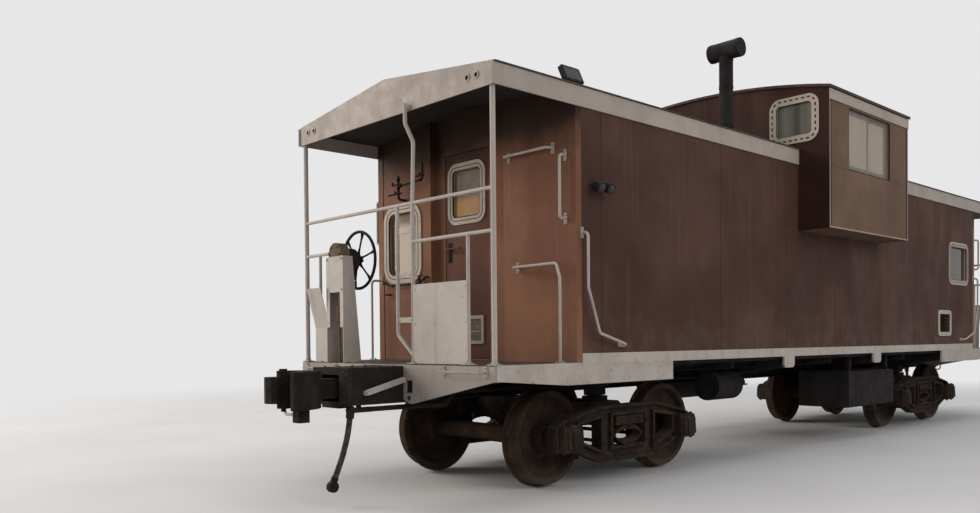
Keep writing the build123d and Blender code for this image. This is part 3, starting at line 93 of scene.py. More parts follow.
# Brake hoses: the route of the front one, in metres
HOSE_ROUTE = (
    (0.185, -5.982, 0.685),
    (0.185, -5.9931, 0.6058),
    (0.183, -6.0122, 0.5158),
    (0.180, -6.0403, 0.4178),
    (0.177, -6.0766, 0.3182),
    (0.175, -6.1165, 0.2287),
)
HOSE_D, HOSE_LENGTH = 0.048, 0.478
hoses = []
for end, s in ENDS:
    curve = bpy.data.curves.new(f"hose_{end}", "CURVE")
    curve.dimensions = "3D"
    spline = curve.splines.new("NURBS")
    spline.points.add(len(HOSE_ROUTE) - 1)
    for point, p in zip(spline.points, HOSE_ROUTE):
        point.co = (*turned(p, s), 1.0)
        point.radius = HOSE_D / 2
    spline.order_u = 3
    spline.use_endpoint_u = True
    spline.resolution_u = 16
    curve.bevel_depth = 1.0
    curve.bevel_resolution = 6
    curve.use_fill_caps = True
    hose = bpy.data.objects.new(f"brake_hose_{end}_rubber", curve)
    scene.collection.objects.link(hose)
    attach(hose, "car")
    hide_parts(f"brake_hose_{end}")
    hoses.append(hose)


# Windows: the middle of each on the wall's outer face, the directions across and out of it, its width, height and
# corner radius over the frame, and the width of the frame's band
WINDOWS = {
    "end": ((-0.960, -BODY_Y, RAIL + 2.255), (1, 0, 0), (0, -1, 0), 0.615, 0.790, 0.170, 0.075),
    "side": ((BODY_X, 3.903, RAIL + 2.340), (0, 1, 0), (1, 0, 0), 0.765, 0.620, 0.110, 0.060),
    "vent": ((BODY_X, 3.358, RAIL + 1.468), (0, 1, 0), (1, 0, 0), 0.495, 0.370, 0.060, 0.045),
    "door": ((DOOR_X, -DOOR_Y, RAIL + 2.665), (1, 0, 0), (0, -1, 0), 0.530, 0.580, 0.115, 0.060),
    "louvre": ((DOOR_X, -DOOR_Y, RAIL + 1.378), (1, 0, 0), (0, -1, 0), 0.456, 0.266, 0.008, 0.020),
    "cupola": ((1.318, CUP_Y0, RAIL + 3.668), (1, 0, 0), (0, -1, 0), 0.575, 0.515, 0.125, 0.070),
    "cupola_back": ((1.318, CUP_Y1, RAIL + 3.668), (1, 0, 0), (0, 1, 0), 0.575, 0.515, 0.125, 0.070),
    "bay": ((CUP_X, 0.098, RAIL + 3.465), (0, 1, 0), (1, 0, 0), 1.080, 0.672, 0.020, 0.0),
}
FRAME_PROUD = 0.012


# Materials
def shade(colour, factor):
    return tuple(c * factor for c in colour)


class Nodes:
    """A short way to write a material's node tree. Positions are the row frame's, in metres."""

    def __init__(self, name, rough=0.5, metal=0.0, shine=0.5):
        self.mat = bpy.data.materials.new(name)
        self.mat.use_nodes = True
        self.tree = self.mat.node_tree
        self.shader = self.tree.nodes["Principled BSDF"]
        for socket, value in (("Roughness", rough), ("Metallic", metal), ("Specular IOR Level", shine)):
            self.shader.inputs[socket].default_value = value
        coordinates = self.node("TexCoord")
        self.place = coordinates.outputs["Object"]
        self.direction = coordinates.outputs["Normal"]

    def link(self, source, target):
        if isinstance(source, (int, float)):
            target.default_value = source
        elif isinstance(source, tuple):
            target.default_value = source if len(source) == 4 or target.type == "VECTOR" else (*source, 1.0)
        else:
            self.tree.links.new(source, target)

    def node(self, kind, inputs=(), **settings):
        """A new node with these settings; inputs are pairs of a socket's name or number and what it takes."""
        node = self.tree.nodes.new("ShaderNode" + kind)
        for setting, value in settings.items():
            setattr(node, setting, value)
        for socket, source in inputs:
            self.link(source, node.inputs[socket])
        return node

    def noise(self, scale, detail=4.0, rough=0.55, stretch=None):
        vector = self.place
        if stretch:
            vector = self.node("Mapping", (("Vector", vector), ("Scale", stretch))).outputs["Vector"]
        return self.node("TexNoise", (("Vector", vector), ("Scale", scale), ("Detail", detail),
                                      ("Roughness", rough))).outputs["Fac"]

    def math(self, kind, a, b=0.0):
        return self.node("Math", ((0, a), (1, b)), operation=kind).outputs[0]

    def times(self, a, b):
        return self.math("MULTIPLY", a, b)

    def step(self, value, low, high):
        """0 below low, 1 above high, smooth between; low may be above high."""
        ends = (low, high, 0.0, 1.0) if low <= high else (high, low, 1.0, 0.0)
        return self.node("MapRange", (("Value", value), *zip(("From Min", "From Max", "To Min", "To Max"), ends)),
                         interpolation_type="SMOOTHSTEP").outputs["Result"]

    def patches(self, scale, low, high, detail=4.0, rough=0.55, stretch=None):
        """Irregular patches: 0 where a noise of this scale is below low, 1 where it is above high."""
        return self.step(self.noise(scale, detail, rough, stretch), low, high)

    def mix(self, fac, a, b):
        return self.node("Mix", (("Factor", fac), (6, a), (7, b)), data_type="RGBA").outputs[2]

    def over(self, tone, colour, mask, amount):
        """The tone with a colour laid over it at this amount where the mask is 1."""
        return self.mix(self.times(mask, amount), tone, colour)

    def near(self, value, places, half):
        """1 close to any of the places, 0 elsewhere."""
        lines = None
        for at in places:
            line = self.step(self.math("ABSOLUTE", self.math("SUBTRACT", value, at)), half, half * 0.3)
            lines = line if lines is None else self.math("MAXIMUM", lines, line)
        return lines

    def axes(self):
        return self.node("SeparateXYZ", ((0, self.place),)).outputs

    def facing(self):
        """The rest pose's surface direction."""
        return self.node("SeparateXYZ", ((0, self.direction),)).outputs

    def settled(self, low, high):
        """Patches of dust on what faces up."""
        return self.times(self.step(self.facing()[2], 0.3, 0.95), self.patches(8.0, low, high, 5, 0.6))

    def soften(self, radius=0.004):
        """Rounds the edges for light only, and returns how near an edge is."""
        rounded = self.node("Bevel", (("Radius", radius),), samples=4).outputs["Normal"]
        plain = self.node("NewGeometry").outputs["Normal"]
        dot = self.node("VectorMath", ((0, rounded), (1, plain)), operation="DOT_PRODUCT")
        self.link(rounded, self.shader.inputs["Normal"])
        return self.step(dot.outputs["Value"], 0.995, 0.90)

    def done(self, tone, height, distance, strength, rough=None):
        """Links the colour, the bump and the roughness, if it varies, and returns the material."""
        self.link(tone, self.shader.inputs["Base Color"])
        if rough is not None:
            self.link(rough, self.shader.inputs["Roughness"])
        bump = self.node("Bump", (("Strength", strength), ("Distance", distance), ("Height", height)))
        for before in self.shader.inputs["Normal"].links:
            self.link(before.from_socket, bump.inputs["Normal"])
        self.link(bump.outputs["Normal"], self.shader.inputs["Normal"])
        return self.mat


# Places along the car: the seams between the sides' sheets, and the joints of the fascias
SEAMS = (-4.257, -2.455, -1.175, -0.035, 1.195, 2.42, 3.62)
FASCIA_JOINTS = (-2.45, 2.42)
BAY_LAP = RAIL + 3.122
BAY_WINDOW_Y = WINDOWS["bay"][0][1]
CUPOLA_MID = (CUP_Y0 + CUP_Y1) / 2
# Limits of smooth steps. Heights: on the red paint streaks grow, dust gathers and a painted shade sets in under the
# porch roof; the wheels get dusty towards the rail, the body's panes lie below the cupola's, and the doors' panes
# have a painted warm reflection low down
STREAKED, DUSTY, ROOF_SHADE_HEIGHTS = (2.1, 3.25), (1.75, 1.15), (2.97, 3.31)
NEAR_RAIL, BODY_PANES, DOOR_REFLECTION_HEIGHTS = (0.25, 0.03), (3.2, 3.1), (2.70, 2.60)
# Distances from the middle line to the doors' panes, the deck's edges, and the bays' panes and their frames
DOOR_PANES, DECK_EDGES, BAY_PANES, BAY_FRAMES = (0.50, 0.45), (1.33, 1.35), (1.6, 1.65), (1.64, 1.66)
# Distances from the middle of the car to the ends' panes and to the domed heads over the stands
END_PANES, DOMES = (4.3, 4.4), (5.399, 5.401)
# The gap between the curtains: its distance from the middle line and half its width
CURTAIN_GAP, GAP_HALF = 1.340, 0.065

WHITE, WHITE_WORN = (0.42, 0.375, 0.335), (0.34, 0.30, 0.265)
DIRT, RUST = (0.19, 0.15, 0.12), (0.14, 0.055, 0.026)
BLACK, BLACK_DUST, BLACK_RUST = (0.014, 0.0125, 0.012), (0.065, 0.052, 0.040), (0.040, 0.022, 0.014)
CABIN_PAINT = (0.30, 0.32, 0.25)


def oxide_paint(name, base, dark, pale, seams=False, inner=None, painted_roof_shade=False, laps=False):
    """Weathered red paint.

    seams draws the joints of the sides' sheets, and laps those of the bays'. inner says which surfaces face the
    cabin and have its pale paint: "x" or "y", and the middle there. The flag for the porch roof paints shade under
    it, as darker paint.
    """
    n = Nodes(name, shine=0.11)
    x, y, z = n.axes()
    edge = n.soften()
    tone = n.mix(n.patches(0.8, 0.36, 0.66, 5, 0.6), dark, base)
    tone = n.over(tone, pale, n.patches(2.2, 0.5, 0.75, 6, 0.62, (1, 1, 0.3)), 0.16)
    streaks = n.times(n.patches(9.0, 0.5, 0.70, 4, 0.55, (1, 1, 0.05)), n.step(z, *STREAKED))
    tone = n.over(tone, dark, streaks, 0.55)
    tone = n.over(tone, pale, n.patches(16.0, 0.58, 0.72, 3, 0.5, (1, 1, 0.04)), 0.20)
    dust = n.times(n.step(z, *DUSTY), n.patches(5.0, 0.35, 0.7, 5, 0.6))
    tone = n.over(tone, (0.125, 0.088, 0.062), dust, 0.35)
    chips = n.patches(30.0, 0.66, 0.69, 6, 0.7)
    tone = n.over(tone, (0.07, 0.034, 0.02), chips, 0.6)
    tone = n.over(tone, pale, edge, 0.45)
    # Painted shade under the porch roof: the paint darkens nearly to black towards the roof, with a ragged edge.
    if painted_roof_shade:
        ragged = n.math("ADD", z, n.times(n.noise(2.5, 4, 0.6), 0.3))
        tone = n.over(tone, (0.012, 0.008, 0.007), n.step(ragged, *ROOF_SHADE_HEIGHTS), 0.92)
    height = n.math("ADD", n.noise(1.5, 2, 0.5), n.times(n.noise(140, 2, 0.5), 0.02))
    if seams:
        outer = n.step(n.math("ABSOLUTE", x), BODY_X - 0.013, BODY_X - 0.005)
        lines = n.times(n.near(y, SEAMS, 0.009), outer)
        tone = n.over(tone, shade(dark, 0.6), lines, 0.85)
        height = n.math("SUBTRACT", height, n.times(lines, 0.5))
    if laps:
        below = n.times(n.near(y, (BAY_WINDOW_Y,), 0.004), n.step(z, BAY_LAP, BAY_LAP - 0.002))
        lines = n.math("MAXIMUM", n.near(z, (BAY_LAP,), 0.007), n.times(below, 0.6))
        tone = n.over(tone, shade(dark, 0.5), lines, 0.75)
        height = n.math("SUBTRACT", height, n.times(lines, 0.4))
    if inner:
        axis, middle = inner
        along = n.math("SUBTRACT", {"x": x, "y": y}[axis], middle)
        inward = n.times(n.math("SIGN", along), n.facing()["xy".index(axis)])
        tone = n.mix(n.step(inward, -0.5, -0.7), tone, CABIN_PAINT)
    gloss = n.math("ADD", n.noise(3.2, 5, 0.6, (1, 1, 0.3)), n.times(chips, 0.6))
    return n.done(tone, height, 0.012, 0.30, n.step(gloss, -1.1, 1.55))


def white_paint(name, base=WHITE, amount=1.0, joints=(), bays=False):
    """amount is how much dirt there is, joints are places along the object where two lengths of plate meet, and
    bays gives the bay windows' frames bare metal, painted darker partly as shade."""
    n = Nodes(name, shine=0.3)
    x, y, _ = n.axes()
    edge = n.soften(0.003)
    tone = n.mix(n.patches(1.7, 0.35, 0.7, 5, 0.6), base, shade(base, 0.84))
    for grime in (n.patches(12.0, 0.52, 0.72, 4, 0.6, (1, 1, 0.06)), n.patches(6.0, 0.54, 0.74, 7, 0.7)):
        tone = n.over(tone, DIRT, grime, 0.35 * amount)
    spots = n.patches(26.0, 0.66 - 0.03 * (amount - 1), 0.69, 6, 0.72)
    tone = n.over(tone, RUST, spots, 0.8)
    tone = n.over(tone, RUST, n.times(edge, n.patches(16.0, 0.46, 0.6, 4, 0.6)), 0.75)
    height = n.math("SUBTRACT", n.noise(60, 3, 0.5), n.times(spots, 0.8))
    if joints:
        lines = n.near(y, joints, 0.004)
        tone = n.over(tone, DIRT, lines, 0.7)
        height = n.math("SUBTRACT", height, n.times(lines, 2.0))
    if bays:
        # The bay frames' brushed metal is painted darker, partly as shade.
        brushed = n.patches(40.0, 0.4, 0.6, 4, 0.6, (1, 1, 0.05))
        metal = n.mix(brushed, (0.20, 0.178, 0.15), (0.15, 0.13, 0.108))
        tone = n.mix(n.step(n.math("ABSOLUTE", x), *BAY_FRAMES), tone, metal)
    gloss = n.math("ADD", n.noise(9, 4, 0.6), n.times(spots, 0.5))
    return n.done(tone, height, 0.002, 0.5, n.step(gloss, -0.7, 1.35))


def black_paint(name, rusty=0.4):
    n = Nodes(name, shine=0.15)
    edge = n.soften()
    tone = n.mix(n.patches(4.0, 0.4, 0.66, 6, 0.65), BLACK, shade(BLACK, 1.7))
    tone = n.over(tone, BLACK_RUST, n.patches(11.0, 0.54, 0.68, 7, 0.7), rusty)
    tone = n.over(tone, BLACK_DUST, n.settled(0.3, 0.6), 0.5)
    tone = n.over(tone, BLACK_RUST, edge, 0.5)
    return n.done(tone, n.noise(45, 5, 0.6), 0.003, 0.5, n.step(n.noise(13, 5, 0.6), -0.9, 0.9))


def gear_paint(name):
    """The round gear case is black; the domed head over each stand is bare, dusty, and painted lighter partly as
    sunlight.
    """
    n = Nodes(name, shine=0.2)
    y = n.axes()[1]
    edge = n.soften()
    dome = n.step(n.math("ABSOLUTE", y), *DOMES)
    cloud = n.patches(7.0, 0.38, 0.66, 6, 0.65)
    # The dome's lighter brown is partly dust and partly painted sunlight.
    tone = n.mix(dome, n.mix(cloud, (0.014, 0.012, 0.012), (0.028, 0.022, 0.018)),
                 n.mix(cloud, (0.115, 0.082, 0.052), (0.160, 0.118, 0.080)))
    tone = n.over(tone, (0.10, 0.06, 0.035), edge, 0.4)
    return n.done(tone, n.noise(45, 5, 0.6), 0.003, 0.5, n.step(n.noise(13, 5, 0.6), -0.9, 0.8))


LOZENGE = 0.055         # width of the raised pattern's waves on the deck


def deck_paint(name):
    """White edges, and a worn dark tread of raised lozenges on top."""
    n = Nodes(name, shine=0.2)
    x, y, _ = n.axes()
    edge = n.soften(0.003)
    top = n.step(n.facing()[2], 0.5, 0.8)
    side = n.step(n.math("ABSOLUTE", x), *DECK_EDGES)
    paint = n.mix(n.patches(3.0, 0.35, 0.7, 5, 0.6), WHITE, WHITE_WORN)
    paint = n.over(paint, (0.17, 0.095, 0.055), n.patches(14.0, 0.56, 0.7, 6, 0.7), 0.7)
    iron = n.mix(n.patches(5.0, 0.35, 0.65, 6, 0.65), (0.030, 0.026, 0.024), (0.075, 0.052, 0.038))
    iron = n.over(iron, (0.15, 0.115, 0.085), n.times(top, n.patches(9.0, 0.4, 0.7, 5, 0.6)), 0.6)
    waves = [n.math("SINE", n.times(n.math(kind, x, y), math.tau / LOZENGE)) for kind in ("ADD", "SUBTRACT")]
    tread = n.times(n.step(n.times(*waves), 0.45, 0.7), top)
    tone = n.mix(n.times(side, n.math("SUBTRACT", 1.0, top)), iron, paint)
    tone = n.over(tone, (0.16, 0.13, 0.105), tread, 0.35)
    tone = n.over(tone, (0.13, 0.07, 0.04), edge, 0.4)
    height = n.math("ADD", n.noise(50, 4, 0.6), n.times(tread, 2.0))
    return n.done(tone, height, 0.003, 0.5, n.step(n.noise(12, 5, 0.6), -0.8, 1.2))


def cast_steel(name, base=(0.040, 0.026, 0.019), dark=(0.014, 0.011, 0.010), bright=(0.078, 0.045, 0.028)):
    n = Nodes(name, metal=0.1, shine=0.2)
    edge = n.soften(0.006)
    tone = n.mix(n.patches(6.0, 0.36, 0.66, 7, 0.7), dark, base)
    tone = n.over(tone, bright, n.patches(22.0, 0.52, 0.7, 6, 0.7), 0.6)
    tone = n.over(tone, (0.085, 0.066, 0.048), n.settled(0.35, 0.65), 0.5)
    tone = n.over(tone, bright, edge, 0.35)
    height = n.math("ADD", n.noise(70, 6, 0.65), n.times(n.noise(9, 3, 0.5), 1.5))
    return n.done(tone, height, 0.004, 0.6, n.step(n.noise(10, 5, 0.6), -1.2, 0.75))


def wheel_steel(name):
    """Rusty wheels, dusty near the rail."""
    n = Nodes(name, metal=0.2, shine=0.2)
    z = n.axes()[2]
    tone = n.mix(n.patches(7.0, 0.36, 0.66, 6, 0.68), (0.018, 0.013, 0.011), (0.050, 0.029, 0.019))
    tone = n.over(tone, (0.085, 0.046, 0.027), n.patches(25.0, 0.5, 0.7, 6, 0.7), 0.6)
    tone = n.over(tone, (0.15, 0.12, 0.09), n.step(z, *NEAR_RAIL), 0.35)
    return n.done(tone, n.noise(60, 6, 0.65), 0.003, 0.5, n.step(n.noise(10, 5, 0.6), -1.1, 0.8))


def glass(name):
    """Dusty panes: tan shades in the bays, curtains in the cupola's ends, dark in the sides, and a painted warm
    reflection low in the doors.
    """
    n = Nodes(name, shine=0.35)
    x, y, z = n.axes()
    across = n.math("ABSOLUTE", x)
    body = n.step(z, *BODY_PANES)
    bay = n.step(across, *BAY_PANES)
    end = n.step(n.math("ABSOLUTE", y), *END_PANES)
    middle = n.step(across, *DOOR_PANES)
    # The curtains have folds, and a dark gap between them
    folds = n.patches(14.0, 0.35, 0.65, 3, 0.5, (1, 1, 0.04))
    curtain = n.mix(folds, (0.105, 0.100, 0.076), (0.150, 0.142, 0.108))
    curtain = n.mix(n.near(across, (CURTAIN_GAP,), GAP_HALF), curtain, (0.038, 0.032, 0.024))
    tone = n.mix(body, curtain, (0.030, 0.023, 0.017))
    tone = n.mix(bay, tone, (0.285, 0.235, 0.165))
    # The doors' panes: the warm orange low down is a painted reflection.
    door = n.mix(n.step(z, *DOOR_REFLECTION_HEIGHTS), (0.20, 0.145, 0.10), (0.52, 0.27, 0.10))
    tone = n.mix(end, tone, n.mix(middle, (0.155, 0.098, 0.054), door))
    tone = n.over(tone, (0.12, 0.10, 0.078), n.patches(3.0, 0.35, 0.65, 3, 0.5, (1, 1, 0.25)), 0.25)
    dust = n.patches(9.0, 0.5, 0.85, 6, 0.65)
    tone = n.over(tone, (0.25, 0.22, 0.17), dust, 0.35)
    n.shader.inputs["Alpha"].default_value = 0.94
    return n.done(tone, n.noise(1.6, 2, 0.5), 0.01, 0.05, n.math("ADD", n.times(dust, 0.25), 0.07))


def lens(name):
    n = Nodes(name, rough=0.16, shine=0.2)
    tone = n.mix(n.patches(60.0, 0.3, 0.7, 3, 0.5), (0.022, 0.021, 0.020), (0.045, 0.042, 0.038))
    return n.done(tone, n.noise(90, 2, 0.5), 0.002, 0.6)


def rubber(name, base, dust):
    n = Nodes(name, shine=0.25)
    tone = n.mix(n.patches(14.0, 0.4, 0.7, 5, 0.6), base, dust)
    return n.done(tone, n.noise(160, 3, 0.5), 0.001, 0.5, n.step(n.noise(20, 4, 0.6), -1.5, 0.8))


def roof_tar(name):
    """Worn roof paint; underneath it is plain and painted dark as shade."""
    n = Nodes(name, shine=0.25)
    tone = n.mix(n.patches(1.4, 0.35, 0.7, 6, 0.65), (0.045, 0.03, 0.026), (0.085, 0.055, 0.045))
    tone = n.over(tone, (0.14, 0.105, 0.085), n.patches(12.0, 0.5, 0.7, 6, 0.7), 0.5)
    # Painted shade: faces that look down are painted near black.
    tone = n.mix(n.step(n.facing()[2], -0.2, -0.8), tone, (0.022, 0.015, 0.013))
    return n.done(tone, n.noise(40, 5, 0.6), 0.004, 0.5, n.step(n.noise(7, 5, 0.6), -1.3, 0.9))


# One oxide red in lit and shaded copies: the ends' copy is painted lighter and warmer as sunlight, and the copies of
# the sides, the doors and the cupola's ends are painted darker as shade. The cupola's sides are faded paint.
red = oxide_paint("oxide_red", (0.082, 0.040, 0.030), (0.050, 0.023, 0.018), (0.135, 0.078, 0.058), seams=True,
                  inner=("x", 0.0))
red_end_sunlit = oxide_paint("oxide_red_ends_painted_sunlight", (0.250, 0.118, 0.068), (0.158, 0.070, 0.042), (0.33, 0.18, 0.11),
                      inner=("y", 0.0), painted_roof_shade=True)
red_door_shaded = oxide_paint("oxide_red_doors_painted_shade", (0.122, 0.050, 0.030), (0.074, 0.031, 0.020), (0.18, 0.09, 0.055),
                       inner=("y", 0.0), painted_roof_shade=True)
red_cupola_shaded = oxide_paint("oxide_red_cupola_painted_shade", (0.046, 0.018, 0.013), (0.026, 0.011, 0.009), (0.10, 0.05, 0.038),
                         inner=("y", CUPOLA_MID))
faded = oxide_paint("oxide_red_faded", (0.160, 0.098, 0.064), (0.112, 0.067, 0.045), (0.20, 0.135, 0.096),
                    inner=("x", 0.0), laps=True)
strip_paint = oxide_paint("corner_strip", (0.40, 0.32, 0.26), (0.28, 0.21, 0.17), (0.46, 0.38, 0.32))
white = white_paint("white")
# The end sills' white is painted darker as shade, and carries more dirt.
end_sill_white_dirt_and_shade = white_paint("end_sill_white_dirt_and_shade", base=(0.30, 0.265, 0.24), amount=1.4)
fascia = white_paint("fascia", base=(0.345, 0.295, 0.258), amount=0.45, joints=FASCIA_JOINTS)
cream = white_paint("window_band", base=(0.41, 0.35, 0.285), amount=1.5, bays=True)
mesh_paint = white_paint("mesh_paint", base=(0.26, 0.21, 0.165), amount=1.5)
black = black_paint("black")
soot = black_paint("soot", rusty=0.15)
gear = gear_paint("brake_gear")
deck = deck_paint("deck")
cast = cast_steel("rusty_casting")
coupler = cast_steel("coupler_casting", (0.024, 0.018, 0.014), (0.011, 0.009, 0.008), (0.050, 0.032, 0.021))
spring = cast_steel("spring_steel", base=(0.06, 0.033, 0.02))
wheel = wheel_steel("wheel_steel")
pane = glass("window_glass")
lamp_lens = lens("lamp_lens")
hose_rubber = rubber("hose_rubber", (0.030, 0.023, 0.018), (0.105, 0.078, 0.056))
seal_rubber = rubber("seal_rubber", (0.014, 0.013, 0.012), (0.040, 0.034, 0.028))
tar = roof_tar("roof")

LOOKS = {
    red: "side_wall_right side_wall_left",
    red_end_sunlit: "end_wall_front end_wall_rear",
    red_door_shaded: "door_front door_rear",
    red_cupola_shaded: "cupola_end_front cupola_end_rear",
    faded: "cupola_side_right cupola_side_left",
    end_sill_white_dirt_and_shade: "end_sills",
    white: "side_sills railings kick_panels brake_stands grab_irons uncoupling_levers",
    fascia: "fascias",
    deck: "end_platforms",
    cream: "window_frames door_trim_front door_trim_rear",
    black: "underframe cabin_floor draft_housings equipment_box air_tanks lamps vent_louvres angle_cocks",
    gear: "brake_gear_cases",
    soot: "smokestack whistle_pipes brake_wheel_front brake_wheel_rear",
    coupler: "couplers knuckles glad_hand_front glad_hand_rear",
    cast: "truck_frame_front truck_frame_rear truck_bolster_front truck_bolster_rear "
          "brake_beams_front brake_beams_rear",
    spring: "truck_springs_front truck_springs_rear",
    wheel: "wheelset_1 wheelset_2 wheelset_3 wheelset_4",
    pane: "window_glass door_glass_front door_glass_rear",
    tar: "roof_front roof_rear cupola_roof",
}
for material, names in LOOKS.items():
    for name in names.split():
        data = nodes[name].data
        data.materials.clear()
        data.materials.append(material)
for hose in hoses:
    hose.data.materials.append(hose_rubber)

SHARP = math.radians(35)


class Form:
    """A mesh of many small forms, drawn for the front end of the object; each body and finish has its own."""

    def __init__(self):
        self.bm = bmesh.new()

    def cone(self, at, out, radius, depth, sides=16, top=None):
        """A disc, hexagon or cone that stands on its foot."""
        place = (Matrix.Translation(Vector(at)) @ Vector(out).to_track_quat("Z", "Y").to_matrix().to_4x4()
                 @ Matrix.Translation((0, 0, depth / 2)))
        bmesh.ops.create_cone(self.bm, cap_ends=True, segments=sides, radius1=radius,
                              radius2=radius if top is None else top, depth=depth, matrix=place)

    def bolt(self, at, out, size=0.010):
        """A washer, a hexagon head and the domed end of its shank."""
        out = Vector(out).normalized()
        at = Vector(at)
        self.cone(at, out, size * 1.45, size * 0.22, 14)
        self.cone(at + out * size * 0.22, out, size, size * 0.75, 6)
        self.cone(at + out * size * 0.97, out, size * 0.55, size * 0.3, 10, size * 0.35)

    def rivet(self, at, out, size=0.010):
        self.cone(at, out, size, size * 0.45, 12, size * 0.8)
        self.cone(Vector(at) + Vector(out).normalized() * size * 0.45, out, size * 0.8, size * 0.25, 12, size * 0.35)

    def slab(self, at, along, out, length, width, depth):
        """A flat bar that lies on a face: its middle there, its length's direction and the face's."""
        along, out = Vector(along).normalized(), Vector(out).normalized()
        edges = Matrix((along * length, out.cross(along) * width, out * depth)).transposed().to_4x4()
        bmesh.ops.create_cube(self.bm, size=1, matrix=Matrix.Translation(Vector(at) + out * depth / 2) @ edges)

    def tube(self, points, radius, normal, sides=8):
        """A round strip along points that lie in a plane with this normal."""
        normal = Vector(normal).normalized()
        count = len(points)
        rings = []
        for i, p in enumerate(points):
            side = (points[(i + 1) % count] - points[i - 1]).normalized().cross(normal)
            rings.append([self.bm.verts.new(p + radius * (math.cos(a) * side + math.sin(a) * normal))
                          for a in (math.tau * k / sides for k in range(sides))])
        self.join(rings)

    def join(self, rings):
        """Faces between each ring of points and the next, round to the first."""
        for a, b in zip(rings, rings[1:] + rings[:1]):
            for k in range(len(a)):
                after = (k + 1) % len(a)
                self.bm.faces.new((a[k], a[after], b[after], b[k]))

    def collar(self, at, out, radius, width, thick, sides=28):
        """A band around a round bar or pipe."""
        out = Vector(out).normalized()
        side = out.orthogonal().normalized()
        other = out.cross(side)
        inner, outer = radius - 0.001, radius + thick
        section = ((inner, 0), (outer, 0), (outer, width), (inner, width))
        rings = []
        for i in range(sides):
            a = math.tau * i / sides
            spoke = math.cos(a) * side + math.sin(a) * other
            rings.append([self.bm.verts.new(Vector(at) + spoke * r + out * h) for r, h in section])
        self.join(rings)

    def half_turn(self, verts):
        bmesh.ops.rotate(self.bm, verts=verts, cent=(0, 0, 0), matrix=Matrix.Rotation(math.pi, 3, "Z"))

    def copied(self):
        """Doubles all forms, and returns the copy's points and faces."""
        made = bmesh.ops.duplicate(self.bm, geom=self.bm.verts[:] + self.bm.edges[:] + self.bm.faces[:])["geom"]
        return ([v for v in made if isinstance(v, bmesh.types.BMVert)],
                [f for f in made if isinstance(f, bmesh.types.BMFace)])

    def both_ends(self):
        """Adds the rear end's forms, half a turn from the front ones."""
        self.half_turn(self.copied()[0])
        return self

    def both_sides(self):
        """Adds the left side's forms, mirrored from the right ones."""
        verts, faces = self.copied()
        for v in verts:
            v.co.x = -v.co.x
        bmesh.ops.reverse_faces(self.bm, faces=faces)
        return self

    def finish(self, name, body, material, slot, turn=False):
        """Makes the piece; turn moves it to the rear end."""
        if turn:
            self.half_turn(self.bm.verts)
        bmesh.ops.recalc_face_normals(self.bm, faces=self.bm.faces)
        mesh = bpy.data.meshes.new(name)
        self.bm.to_mesh(mesh)
        self.bm.free()
        mesh.shade_smooth()
        mesh.set_sharp_from_angle(angle=SHARP)
        mesh.materials.append(material)
        piece = bpy.data.objects.new(name, mesh)
        scene.collection.objects.link(piece)
        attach(piece, body)


def outline(kind, inset, proud, count):
    """Points evenly spaced around a window, at an inset from its frame's edge, each with the outline's direction."""
    at, across, out, width, height, radius, _ = WINDOWS[kind]
    at, across, out = Vector(at), Vector(across), Vector(out)
    up_the_wall = Vector((0, 0, 1))
    r = max(radius - inset, 0.004)
    half_w, half_h = width / 2 - inset - r, height / 2 - inset - r
    quarter = r * math.pi / 2
    runs = []
    for k, run in enumerate((2 * half_w, 2 * half_h, 2 * half_w, 2 * half_h)):
        runs += [("line", k, run), ("arc", k, quarter)]
    corners = ((half_w, half_h), (half_w, -half_h), (-half_w, -half_h), (-half_w, half_h))
    whole = sum(run for _, _, run in runs)
    points = []
    for i in range(count):
        s = whole * i / count
        for form, k, run in runs:
            if s <= run:
                break
            s -= run
        turn = -math.pi / 2 * k
        if form == "line":
            before = corners[k - 1]
            a = before[0] + math.cos(turn) * s - math.sin(turn) * r
            b = before[1] + math.sin(turn) * s + math.cos(turn) * r
        else:
            turn -= s / r
            a = corners[k][0] - math.sin(turn) * r
            b = corners[k][1] + math.cos(turn) * r
        points.append((at + across * a + up_the_wall * b + out * proud,
                       across * math.cos(turn) + up_the_wall * math.sin(turn)))
    return points


def strip(form, kind, inset, proud, radius, count=72):
    """Rubber that follows a window's outline at this inset."""
    form.tube([p for p, _ in outline(kind, inset, proud, count)], radius, WINDOWS[kind][2])


CUPOLA_CLIPS = 26
# Screws of each frame: from the frame's edge, the screw's radius and their number
SCREWS = {
    "end": (0.013, 0.0055, 18), "side": (0.013, 0.0055, 18), "vent": (0.013, 0.0055, 10),
    "cupola": (0.010, 0.005, 16), "cupola_back": (0.010, 0.005, 16),
    "door": (0.011, 0.005, 16), "louvre": (0.010, 0.005, 8),
}


def window_seals():
    """Black rubber at the inner edge of each frame, and the line that it draws in the frame."""
    for kinds, name, body in (("end side", "body", "car"), ("door", "door", None)):
        for end, s in ENDS:
            form = Form()
            for kind in kinds.split():
                band = WINDOWS[kind][6]
                strip(form, kind, band + 0.008, 0.004, 0.009)
                strip(form, kind, band * 0.62, FRAME_PROUD, 0.0035)
            form.finish(f"{name}_window_seals_{end}", body or f"door_leaf_{end}", seal_rubber, "hose_rubber", s < 0)
    form = Form()
    for kind in ("cupola", "cupola_back"):
        strip(form, kind, WINDOWS[kind][6] + 0.008, 0.003, 0.009)
        for p, along in outline(kind, WINDOWS[kind][6] / 2, FRAME_PROUD, CUPOLA_CLIPS):
            form.slab(p, along, WINDOWS[kind][2], 0.034, 0.017, 0.0015)
    strip(form, "bay", 0.0, -0.004, 0.005, 96)
    form.both_sides().finish("cupola_window_seals", "car", seal_rubber, "hose_rubber")


